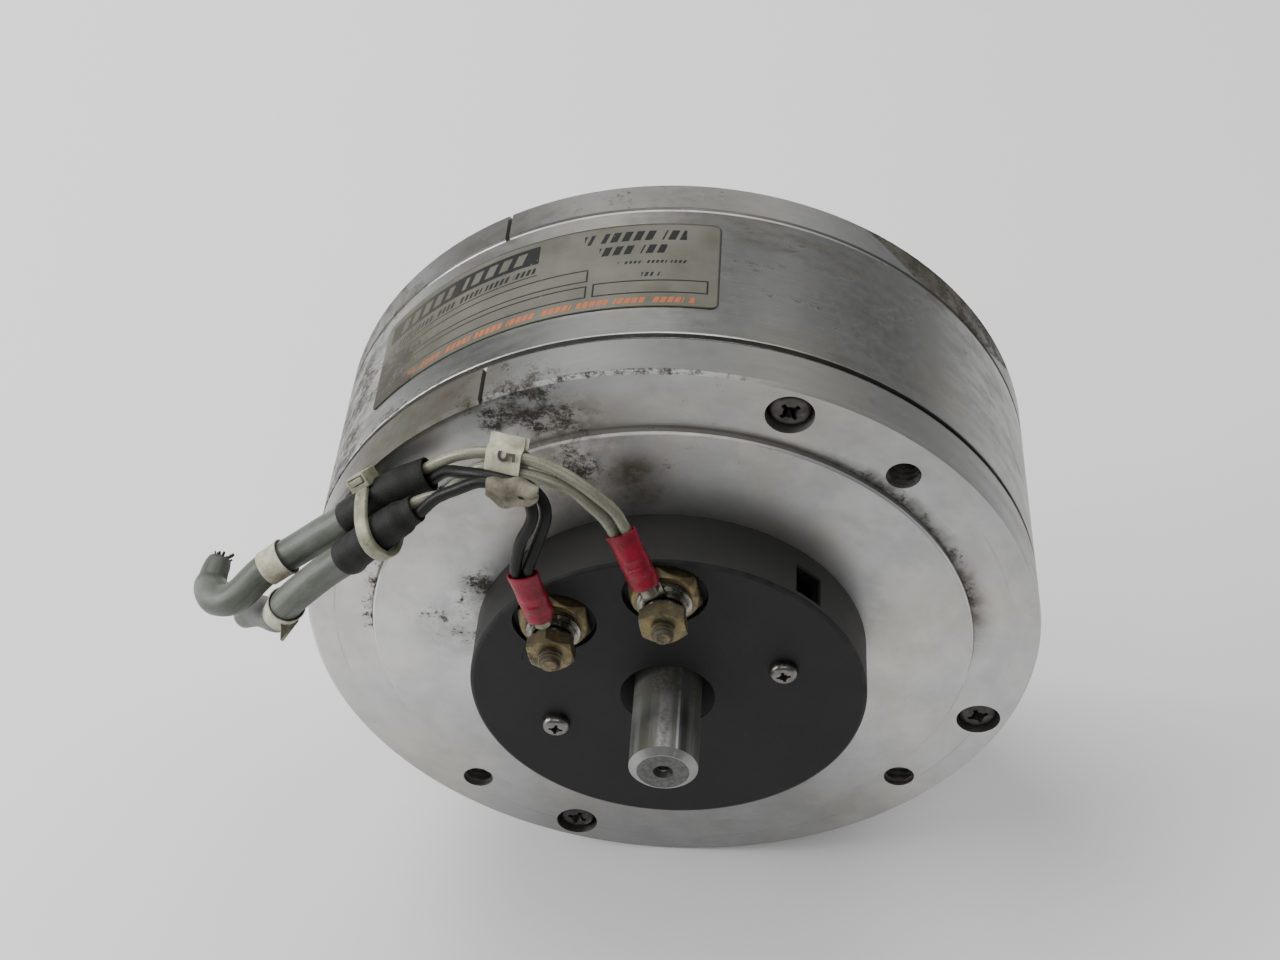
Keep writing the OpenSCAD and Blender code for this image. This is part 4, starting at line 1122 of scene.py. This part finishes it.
def split_washer():
    """Spring washer, a square section wound just short of one turn with its ends offset."""
    width = LOCK_OUTER - LOCK_INNER
    washer = start("split_washer", bpy.ops.mesh.primitive_plane_add, size=1,
                   location=((LOCK_INNER + LOCK_OUTER) / 2, 0, 0), rotation=(math.pi / 2, 0, 0))
    washer.scale = (width, LOCK_THICKNESS * 0.82, 1)
    apply_place(washer)
    pick(washer, "FACE", lambda middle, way: True)
    bpy.ops.mesh.bevel(offset=EDGE_ROUND, segments=2, affect="VERTICES")
    bpy.ops.mesh.delete(type="ONLY_FACE")
    leave_edit()
    wind(washer, math.radians(LOCK_TURN), LOCK_RISE, turns=1, steps=72)
    return coat_with(washer, PLATED)


copies(split_washer(), "split_washer", at_studs(LOCK_MIDDLE_Y, (215, 150)), "tinned_metal",
       "lock_washers")

# The threads in the mounting holes take the dark recess metal, which paints the shade inside the
# holes
hole_thread = thread_ridge("hole_thread", MOUNT_CREST, MOUNT_PITCH, turns=4, bottom=-0.0062,
                           inwards=True)
copies(coat_with(hole_thread, RECESS_DIRT_AND_SHADE), "hole_thread",
       [facing_front(polar(MOUNT_ANGLE + 360 * k / MOUNT_COUNT, MOUNT_RADIUS, 0))
        for k in range(MOUNT_COUNT)], "turned_aluminium")


# Red crimp sleeves: distance from the terminal end, width and thickness, in mm

SLEEVE_STATIONS = [(0, 4.8, 3.9), (0.3, 5.2, 4.3), (1.4, 5.3, 4.3), (1.7, 5.7, 3.8),
                   (2.7, 5.7, 3.75), (3.0, 5.3, 4.4), (4.4, 5.2, 4.4), (4.7, 5.6, 3.85),
                   (5.9, 5.6, 3.8), (6.2, 5.3, 4.3), (7.2, 5.3, 3.8), (8.8, 5.4, 3.3),
                   (10.2, 5.6, 3.05), (11.3, 5.9, 3.0)]


def crimp_sleeve():
    """Vinyl sleeve pressed flat at two crimps and open at the wire end, along +Z."""
    _, width, thickness = SLEEVE_STATIONS[0]
    sleeve = start("crimp_sleeve", bpy.ops.mesh.primitive_circle_add, vertices=40, radius=0.5)
    edit()
    bpy.ops.mesh.select_all(action="SELECT")
    bpy.ops.transform.resize(value=(width * MM, thickness * MM, 1), center_override=(0, 0, 0))
    for before, after in zip(SLEEVE_STATIONS, SLEEVE_STATIONS[1:]):
        rise = (after[0] - before[0]) * MM
        bpy.ops.mesh.extrude_edges_move(TRANSFORM_OT_translate={"value": (0, 0, rise)})
        bpy.ops.transform.resize(value=(after[1] / before[1], after[2] / before[2], 1),
                                 center_override=(0, 0, after[0] * MM))
    leave_edit()
    tidy_mesh(sleeve, 180)
    modify(sleeve, "SOLIDIFY", thickness=0.00045, offset=-1)
    soften(sleeve, EDGE_ROUND, 40)
    modify(sleeve, "SUBSURF", levels=1, render_levels=1)
    tidy_mesh(sleeve, 60)
    return coat_with(sleeve, RED)


copies(crimp_sleeve(), "crimp_sleeve",
       [aligned(sleeve_point(i, 0, 0), sleeve_direction(i).cross(sleeve_sideways(i)),
                sleeve_direction(i)) for i in (0, 1)], "red_sleeve", "terminal_sleeves")


# Cords

def smooth_route(points, steps=5):
    """A smooth curve through points, with the given steps between each two."""
    ends = [points[0] * 2 - points[1], *points, points[-1] * 2 - points[-2]]
    curve = []
    for a, b, c, d in zip(ends, ends[1:], ends[2:], ends[3:]):
        for k in range(steps):
            t = k / steps
            curve.append(0.5 * (2 * b + (c - a) * t + (2 * a - 5 * b + 4 * c - d) * t * t
                                + (3 * b - 3 * c + d - a) * t ** 3))
    return [*curve, points[-1]]


def sweep(name, path, outline, loop=False, capped=True, side=Vector((0.3, 1, 0.2))):
    """A mesh swept along path. outline(t) gives the ring's offsets in metres, t from 0 to 1.

    U runs round the ring and V along the path, in metres. Offsets run along side and across it.
    """
    count = len(path)
    rings, along = [], [0.0]
    for k, point in enumerate(path):
        after = path[(k + 1) % count] if loop or k < count - 1 else point
        before = path[k - 1] if loop or k else point
        forward = (after - before).normalized()
        side = (side - side.dot(forward) * forward).normalized()
        other = forward.cross(side)
        rings.append([point + u * side + v * other for u, v in outline(k / (count - 1))])
        along.append(along[-1] + (after - point).length)
    sides = len(rings[0])
    faces, spots = [], []
    for k in range(count if loop else count - 1):
        for i in range(sides):
            j, n = (i + 1) % sides, (k + 1) % count
            faces.append((k * sides + i, k * sides + j, n * sides + j, n * sides + i))
            low, high = i / sides, (i + 1) / sides
            spots += [(low, along[k]), (high, along[k]), (high, along[k + 1]), (low, along[k + 1])]
    if capped and not loop:
        for k, order in ((0, range(sides - 1, -1, -1)), (count - 1, range(sides))):
            faces.append([k * sides + i for i in order])
            spots += [(i / sides, along[k]) for i in order]
    piece = mesh_piece(name, [p for ring in rings for p in ring], faces)
    layer = piece.data.uv_layers.new(name="UVMap")
    for corner, spot in zip(layer.data, spots):
        corner.uv = spot
    piece.data.polygons.foreach_set("use_smooth", [len(f) == 4 for f in faces])
    return piece


def oval_outline(width, height=None, sides=32):
    """Outline of a round or oval cord. width and height may be functions of t."""
    height = height or width

    def outline(t):
        w = width(t) if callable(width) else width
        h = height(t) if callable(height) else height
        turns = [2 * math.pi * i / sides for i in range(sides)]
        return [(w / 2 * math.cos(a), h / 2 * math.sin(a)) for a in turns]
    return outline


def along_stations(stations):
    """A smooth function of t through (t, value) pairs."""
    def value(t):
        for (t0, v0), (t1, v1) in zip(stations, stations[1:]):
            if t <= t1:
                s = (t - t0) / (t1 - t0)
                return v0 + (v1 - v0) * s * s * (3 - 2 * s)
        return stations[-1][1]
    return value


def length_of(path):
    return sum((b - a).length for a, b in zip(path, path[1:]))


def straight(a, b, steps):
    return [a.lerp(b, k / steps) for k in range(steps + 1)]


# Shrink sleeves, open towards the leads

def shrink_sleeve(name, start_point, end_point, widths, heights, bow):
    """A tube shrunk over a cable's end. bow is how far its middle lies off the straight."""
    steps = 24
    path = [point + bow * math.sin(math.pi * k / steps)
            for k, point in enumerate(straight(start_point, end_point, steps))]
    way = (end_point - start_point).normalized()
    tube = sweep(name, path, oval_outline(along_stations(widths), along_stations(heights)),
                 capped=False, side=across(way))
    modify(tube, "SOLIDIFY", thickness=0.0005, offset=-1)
    soften(tube, 0.00015, 50)
    tidy_mesh(tube, 50)
    coat_with(tube, SHRINK)
    return finished(tube, "black_insulation", name)


shrink_sleeve("shrink_sleeve_upper", UPPER_IN - UPPER_WAY * 0.0004, UPPER_OUT + UPPER_WAY * 0.0006,
              [(0, 0.0062), (0.08, 0.0063), (0.3, 0.0067), (0.6, 0.0068), (0.75, 0.0067),
               (1, 0.0067)],
              [(0, 0.0047), (0.08, 0.0052), (0.3, 0.0065), (0.6, 0.0067), (0.75, 0.0067),
               (1, 0.0067)], Vector((-0.0004, 0, 0.0007)))
shrink_sleeve("shrink_sleeve_lower", LOWER_IN - LOWER_WAY * 0.0006, LOWER_OUT + LOWER_WAY * 0.0004,
              [(0, 0.0050), (0.12, 0.0052), (0.2, 0.0062), (0.55, 0.0067), (0.8, 0.0067),
               (1, 0.0067)],
              [(0, 0.0038), (0.12, 0.0042), (0.2, 0.0058), (0.55, 0.0066), (0.8, 0.0067),
               (1, 0.0067)], Vector((0, 0, 0.0004)))


# Marker bands on the jackets

def marker_band(name, a, b, share):
    """A turn of cloth tape round a jacket, a little loose at the end towards the terminals."""
    a, b = a * MM, b * MM
    middle = a + share * (b - a)
    half = (b - a).normalized() * BAND_HALF_LENGTH
    path = straight(middle - half, middle + half, 8)
    width = along_stations([(0, JACKET_DIAMETER + 0.0006), (0.25, JACKET_DIAMETER + 0.0002),
                            (1, JACKET_DIAMETER + 0.00015)])
    band = sweep(name, path, oval_outline(width, sides=40), capped=False)
    modify(band, "SOLIDIFY", thickness=BAND_THICKNESS, offset=-0.5)
    tidy_mesh(band, 50)
    return coat_with(band, CLOTH)


upper_band = finished(marker_band("marker_band_upper", Vector(CABLE_UPPER[1]),
                                  Vector(CABLE_UPPER[2]), 0.7), "marker", "marker_band_upper")
lower_band = marker_band("marker_band_lower", Vector(CABLE_LOWER[2]), Vector(CABLE_LOWER[3]), 0.5)


def band_tail():
    """The loose pointed end of the lower band's tape."""
    way = (Vector(CABLE_LOWER[3]) - Vector(CABLE_LOWER[2])).normalized()
    middle = (Vector(CABLE_LOWER[2]) + Vector(CABLE_LOWER[3])) / 2 * MM
    sight = (middle - CAMERA_PLACE).normalized()
    root = middle + way.cross(sight).normalized() * 0.0018 + way * 0.0016 - sight * 0.0033
    out = Vector((-0.30, -0.73, -0.61))
    base = out.cross(sight).normalized()
    tail = start("band_tail", bpy.ops.mesh.primitive_grid_add, x_subdivisions=8, y_subdivisions=6,
                 size=1)
    for vertex in tail.data.vertices:
        s, t = vertex.co.x + 0.5, vertex.co.y
        vertex.co = (root + out * TAIL_LENGTH * s + base * t * TAIL_WIDTH * (1 - 0.88 * s)
                     + sight * 0.0005 * math.sin(2.4 * s + 3 * t))
    modify(tail, "SOLIDIFY", thickness=BAND_THICKNESS, offset=0)
    tidy_mesh(tail, 50)
    return coat_with(tail, AGED_CLOTH)


lower_band = joined("marker_band_lower", [lower_band, band_tail()])
finished(lower_band, "marker", "marker_band_lower")


# Cables

def make_cable(name, start_point, route, widths, heights):
    """A cable from its shrink sleeve to its cut end, which shows the strands."""
    path = smooth_route([start_point, *millimetres(route)])
    cable = sweep(name, path, oval_outline(along_stations(widths), along_stations(heights)))
    coat_with(cable, JACKET, STRAND)
    for face in cable.data.polygons:
        face.material_index = int(len(face.vertices) > 4)
    finished(cable, "grey_jacket", name)
    length_of(path)


def frayed_strands(end, way):
    """Broken strands that stick out of the upper cable's cut end, which faces the given way."""
    draw = Random(7)
    strands = []
    side = way.orthogonal().normalized()
    for _ in range(STRAND_COUNT):
        turn = Matrix.Rotation(draw.uniform(0, 2 * math.pi), 3, way)
        out = turn @ side
        root = end - way * 0.0008 + out * draw.uniform(0.0003, 0.0021)
        reach = draw.uniform(0.0009, 0.0021)
        lean = out * draw.uniform(0.0001, 0.0012)
        middle = root + way * reach * 0.6
        tip = root + way * reach + lean
        thick = draw.uniform(0.00022, 0.0007)
        path = smooth_route([root, middle, tip], 3)
        strands.append(sweep("strand", path, oval_outline(thick, sides=8)))
    strands = coat_with(joined("frayed_strands", strands), STRAND)
    tidy_mesh(strands, 60)
    return finished(strands, "black_insulation")


cut_end, before_end = Vector(CABLE_UPPER[-1]) * MM, Vector(CABLE_UPPER[-2]) * MM
strands = frayed_strands(cut_end, (cut_end - before_end).normalized())
make_cable("cable_upper", UPPER_OUT, CABLE_UPPER,
           [(0, 0.0060), (0.58, 0.0060), (0.66, 0.0066), (0.78, 0.0065), (0.86, 0.0054),
            (0.96, 0.0050), (1, 0.0044)],
           [(0, 0.0060), (0.58, 0.0060), (0.68, 0.0069), (0.8, 0.0064), (0.87, 0.0052),
            (0.96, 0.0049), (1, 0.0043)])
make_cable("cable_lower", LOWER_OUT, CABLE_LOWER,
           [(0, 0.0060), (0.9, 0.0060), (1, 0.0055)], [(0, 0.0060), (0.9, 0.0059), (1, 0.0052)])


# Tape markers folded round the leads

def folded_tape(name, low, high, along, size, bend):
    """Tape folded round two leads, its ends stuck together in a tab beyond the high one.

    bend(x, y, z) moves points of the tape's own frame, in metres. The frame is returned too.
    """
    length, slack, tab, overhang = size
    span = (high - low).length
    wide, thick = span + LEAD_DIAMETER + slack, LEAD_DIAMETER + slack
    arc = [math.radians(75 - 15 * k) for k in range(11)]
    half = [(TAB_GAP / 2, wide / 2 + tab * (1 - k / 6)) for k in range(6)]
    half += [(thick / 2 * math.cos(a), (wide - thick) / 2 + thick / 2 * math.sin(a))
             for a in arc if a >= 0]
    half += [(thick / 2 * math.cos(a), -(wide - thick) / 2 + thick / 2 * math.sin(a))
             for a in arc if a <= 0]
    section = half + [(-x, y) for x, y in reversed(half)]
    there = aligned((low + high) / 2, high - low, along)
    steps = 14
    points, faces = [], []
    for k in range(steps + 1):
        share = k / steps
        for n, (x, y) in enumerate(section):
            back = overhang if n >= len(half) else 0.0
            z = -length / 2 - back + share * (length + back)
            points.append(there @ bend(x, y, z))
    width = len(section)
    for k in range(steps):
        for n in range(width - 1):
            a = k * width + n
            faces.append((a, a + 1, a + 1 + width, a + width))
    tape = mesh_piece(name, points, faces)
    modify(tape, "SOLIDIFY", thickness=FLAG_THICKNESS, offset=0)
    tidy_mesh(tape, 45)
    return tape, there


def flag_bend(x, y, z):
    curl = max(0.0, y - 0.0028)
    return Vector((x - curl * 0.16 + 0.0002 * math.sin(z * 900 + y * 500), y + z * 0.06, z))


def wire_number(there):
    """The wire's number, printed sideways on the front of the tape that lies there."""
    digit = start("wire_number", bpy.ops.object.text_add)
    digit.data.body = "5"
    digit.data.size = 0.0044
    digit.data.align_x = "CENTER"
    digit.data.align_y = "CENTER"
    digit.data.extrude = 0.00002
    digit.data.offset = 0.00006
    bpy.ops.object.convert(target="MESH")
    print_turn = Matrix(((0, 0, 1), (-1, 0, 0), (0, -1, 0))).to_4x4()
    digit.data.transform(there @ Matrix.Translation((0.00172, 0.0013, -0.0005)) @ print_turn)
    coat_with(digit, INK)
    return finished(digit, "marker")


flag_low, flag_high = (Vector(r[FLAG_POINT]) * MM for r in (PALE_LOWER, PALE_UPPER))
flag_along = Vector(PALE_UPPER[FLAG_POINT + 1]) - Vector(PALE_UPPER[FLAG_POINT - 1])
lead_flag, flag_frame = folded_tape("lead_flag", flag_low, flag_high, flag_along,
                                    LEAD_FLAG_SIZE, flag_bend)
finished(coat_with(lead_flag, CLOTH), "marker", "lead_flag")
number = wire_number(flag_frame)


def crumpled_bend(x, y, z):
    curl = max(0.0, y - 0.0029)
    rolled = max(0.0, -z - 0.0015)
    wave = 0.0005 * math.sin(z * 1500 + y * 700) + 0.0003 * math.sin(y * 1900)
    pinch = 1 - 0.5 * (z / 0.0046) ** 2
    return Vector((x - curl * 0.35 - rolled * 0.3 + wave * min(1.0, curl * 600),
                   y * pinch + 0.0003 * math.sin(z * 1300), z))


fold_at = Vector(BLACK_LOWER[FLAG_POINT]) * MM + Vector((0.0016, -0.0004, 0.0003))
fold_down = Vector((0, -0.00018, -0.00015))
fold_low, fold_high = fold_at - fold_down, fold_at + fold_down
fold_along = Vector((-7.6, 0.4, 0.3))
folded_flag, _ = folded_tape("folded_flag", fold_low, fold_high, fold_along, FOLDED_FLAG_SIZE,
                             crumpled_bend)
finished(coat_with(folded_flag, AGED_CLOTH), "marker", "folded_flag")


def make_lead(name, i, side, route, face, direction, hand, material, slot):
    """A lead from crimp terminal i to the face of a shrink sleeve that runs along direction.

    side and hand, 1 or -1, tell on which side of the terminal's and the sleeve's middle it lies.
    """
    points = [sleeve_point(i, SLEEVE_LENGTH, side * LEAD_GAP), *millimetres(route),
              face + hand * LEAD_GAP * across(direction)]
    path = smooth_route(points)
    path[0] -= sleeve_direction(i) * LEAD_INSET
    path[-1] += direction * LEAD_INSET
    lead = coat_with(sweep(name, path, oval_outline(LEAD_DIAMETER, sides=20)), material)
    finished(lead, slot, name)
    length_of(path)


make_lead("pale_lead_upper", 0, 1, PALE_UPPER, UPPER_IN, UPPER_WAY, 1, PALE, "pale_insulation")
make_lead("pale_lead_lower", 0, -1, PALE_LOWER, LOWER_IN, LOWER_WAY, 1, PALE, "pale_insulation")
make_lead("black_lead_upper", 1, 1, BLACK_UPPER, UPPER_IN, UPPER_WAY, -1, BLACK,
          "black_insulation")
make_lead("black_lead_lower", 1, -1, BLACK_LOWER, LOWER_IN, LOWER_WAY, -1, BLACK,
          "black_insulation")


# Cable tie round both shrink sleeves

TIE_AT = 0.66
TIE_SLANT = 0.0012
TIE_WIDTH = 0.0027
TIE_THICKNESS = 0.0010
TIE_HEAD = 0.0042
TIE_HEAD_HEIGHT = 0.0028
TIE_HEAD_TURN = 40
TIE_SLOT_X = 0.0003
TIE_HALF_WIDTH = 0.0046
TIE_SLACK = 0.0012
TIE_SQUARENESS = 0.85


def rounded_strap(width, thickness, corner):
    """Outline of a strap with rounded corners."""
    ring = []
    for sx, sy, first in ((1, 1, 0), (-1, 1, 90), (-1, -1, 180), (1, -1, 270)):
        for step in (0, 30, 60, 90):
            a = math.radians(first + step)
            ring.append((sx * (width / 2 - corner) + corner * math.cos(a),
                         sy * (thickness / 2 - corner) + corner * math.sin(a)))
    return lambda t: ring


def cable_tie():
    upper = UPPER_IN + TIE_AT * (UPPER_OUT - UPPER_IN)
    lower = LOWER_IN + ((upper - LOWER_IN).dot(LOWER_WAY) - TIE_SLANT) * LOWER_WAY
    span = (lower - upper).length
    there = aligned((upper + lower) / 2, upper - lower, UPPER_WAY)
    tall = (span + SHRINK_DIAMETER + TIE_SLACK) / 2

    def oval(angle):
        c, s = math.cos(math.radians(angle)), math.sin(math.radians(angle))
        return Vector((TIE_HALF_WIDTH * math.copysign(abs(c) ** TIE_SQUARENESS, c),
                       tall * math.copysign(abs(s) ** TIE_SQUARENESS, s), 0))
    path = [there @ oval(360 * k / 48) for k in range(48)]
    strap = sweep("tie_strap", path, rounded_strap(TIE_WIDTH, TIE_THICKNESS, 0.0003), loop=True,
                  side=UPPER_WAY)
    tidy_mesh(strap, 40)
    head = block("tie_head", (TIE_HEAD_HEIGHT, TIE_HEAD, TIE_HEAD))
    cut(head, block("slot", (TIE_THICKNESS * 1.3, TIE_HEAD * 2, TIE_WIDTH * 1.12),
                    (TIE_SLOT_X, 0, 0)))
    soften(head, 0.0005, 40, 3)
    stub = block("stub", (TIE_THICKNESS * 1.1, TIE_HEAD * 1.3, TIE_WIDTH),
                 (TIE_SLOT_X, TIE_HEAD * 0.08, 0))
    soften(stub, 0.0002, 30)
    for part in (head, stub):
        part.data.transform(
            there @ Matrix.Translation(oval(TIE_HEAD_TURN))
            @ Matrix.Rotation(math.radians(TIE_HEAD_TURN), 4, "Z")
            @ Matrix.Translation((TIE_HEAD_HEIGHT / 2 - TIE_THICKNESS / 2, 0, 0)))
        tidy_mesh(part, 40)
    tie = coat_with(joined("cable_tie", [strap, head, stub]), NYLON)
    return finished(tie, "nylon", "cable_tie")


cable_tie()


# Printed label round the housing ring

def label_material():
    """Silvery label with plain bars, boxes and rows of marks, oil-stained at its left end."""
    material, shader, place = new_material("printed_label", 0.2)
    u, v = layout_of(material)
    blotch = blotches(place, 90.0, 0.9)

    def bar(left, right, low, high):
        return box(u, v, left, right, low, high)

    def frame_of(left, right, low, high):
        line = 0.34
        return (bar(left, right, low, high)
                - bar(left + line, right - line, low + line, high - line))

    def marks(left, right, low, high, pitch, duty):
        """A row of short slanted marks in place of words."""
        slanted = u + v * -0.3
        mark = calc("FRACT", slanted / pitch) < duty
        word = calc("FRACT", slanted / (pitch * 5.3)) < 0.84
        return mark * word * bar(left, right, low, high)

    dark = strongest(
        bar(2.2, 38.4, 16.4, 21.4) - marks(4.4, 37, 17.4, 20.4, 3.1, 0.6),
        bar(6, 38.4, 12.9, 13.2), marks(5, 38, 13.7, 15.3, 1.1, 0.62),
        frame_of(8.8, 48.4, 8.0, 11.4), frame_of(9.0, 48.4, 3.6, 6.9),
        frame_of(49.4, 69.9, 3.6, 7.2), marks(47, 65.6, 18.3, 21.0, 2.1, 0.66),
        marks(50, 62.2, 14.6, 17.0, 2.0, 0.66), marks(53.6, 66, 11.8, 12.6, 0.8, 0.6),
        marks(58, 61.6, 8.2, 9.3, 1.0, 0.6))
    worn = smooth_range(noise(place, 1400.0, 3), 0.2, 0.36)
    orange = marks(4.5, 67.6, 1.1, 2.5, 1.25, 0.7) * worn
    rim = 1.0 - bar(0.3, 71.5, 0.3, 22.7)
    cloud = smooth_range(noise(place, 240.0, 5), 0.4, 0.6)
    stain = smooth_range(u, 30.0, 4.0) * (eased(cloud, 0.65, 1.0)
                                          * smooth_range(v, 19.0, 10.0, 0.6, 1.0))
    film = strongest(stain, rim * 0.75)
    level = smooth_range(u, 21.0, 5.0) * smooth_range(v, 17.0, 7.0, 0.45, 1.4)
    colour = layered(
        colour_mix(blotch, (0.115, 0.113, 0.090), (0.165, 0.163, 0.138)),
        (dark * (worn * 0.95), (0.012, 0.012, 0.014)), (orange * 0.8, (0.50, 0.12, 0.035)),
        (film, (0.048, 0.043, 0.026)), (specks(place, level, 1300.0), DIRT_AND_SHADE_COLOUR))
    feed(shader, {"Base Color": colour, "Metallic": 0.35 - strongest(dark, orange, film) * 0.33,
                  "Roughness": between(blotch, 0.42, 0.55),
                  "Normal": bump(noise(place, 900.0, 3), 0.00002)})
    return material


def printed_label():
    """A thin sheet with round corners, bent round the housing ring. UV is in millimetres."""
    arc = math.radians(LABEL_ANGLES[0] - LABEL_ANGLES[1]) * BODY_RADIUS
    tall = LABEL_Y[1] - LABEL_Y[0]
    label = start("printed_label", bpy.ops.mesh.primitive_grid_add, size=1,
                  x_subdivisions=LABEL_GRID[0], y_subdivisions=LABEL_GRID[1])
    layer = label.data.uv_layers["UVMap"].data
    flat = []
    for vertex in label.data.vertices:
        x, y = vertex.co.x * arc, vertex.co.y * tall
        dx = abs(x) - (arc / 2 - LABEL_CORNER)
        dy = abs(y) - (tall / 2 - LABEL_CORNER)
        if dx > 0 and dy > 0:
            shrink = max(dx, dy) / math.hypot(dx, dy)
            x = math.copysign(arc / 2 - LABEL_CORNER + dx * shrink, x)
            y = math.copysign(tall / 2 - LABEL_CORNER + dy * shrink, y)
        flat.append((x + arc / 2, y + tall / 2))
        angle = LABEL_ANGLES[0] - math.degrees(flat[-1][0] / BODY_RADIUS)
        vertex.co = polar(angle, BODY_RADIUS + LABEL_LIFT, LABEL_Y[0] + flat[-1][1])
    for loop in label.data.loops:
        layer[loop.index].uv = [c / MM for c in flat[loop.vertex_index]]
    tidy_mesh(label, 60)
    modify(label, "SOLIDIFY", thickness=LABEL_THICKNESS, offset=0)
    coat_with(label, label_material())
    return finished(label, "housing_metal")


printed_label()


floor = start("floor", bpy.ops.mesh.primitive_plane_add, size=FLOOR_SIZE,
              location=(0, 0, -BODY_RADIUS))
coat_with(floor, FLOOR)
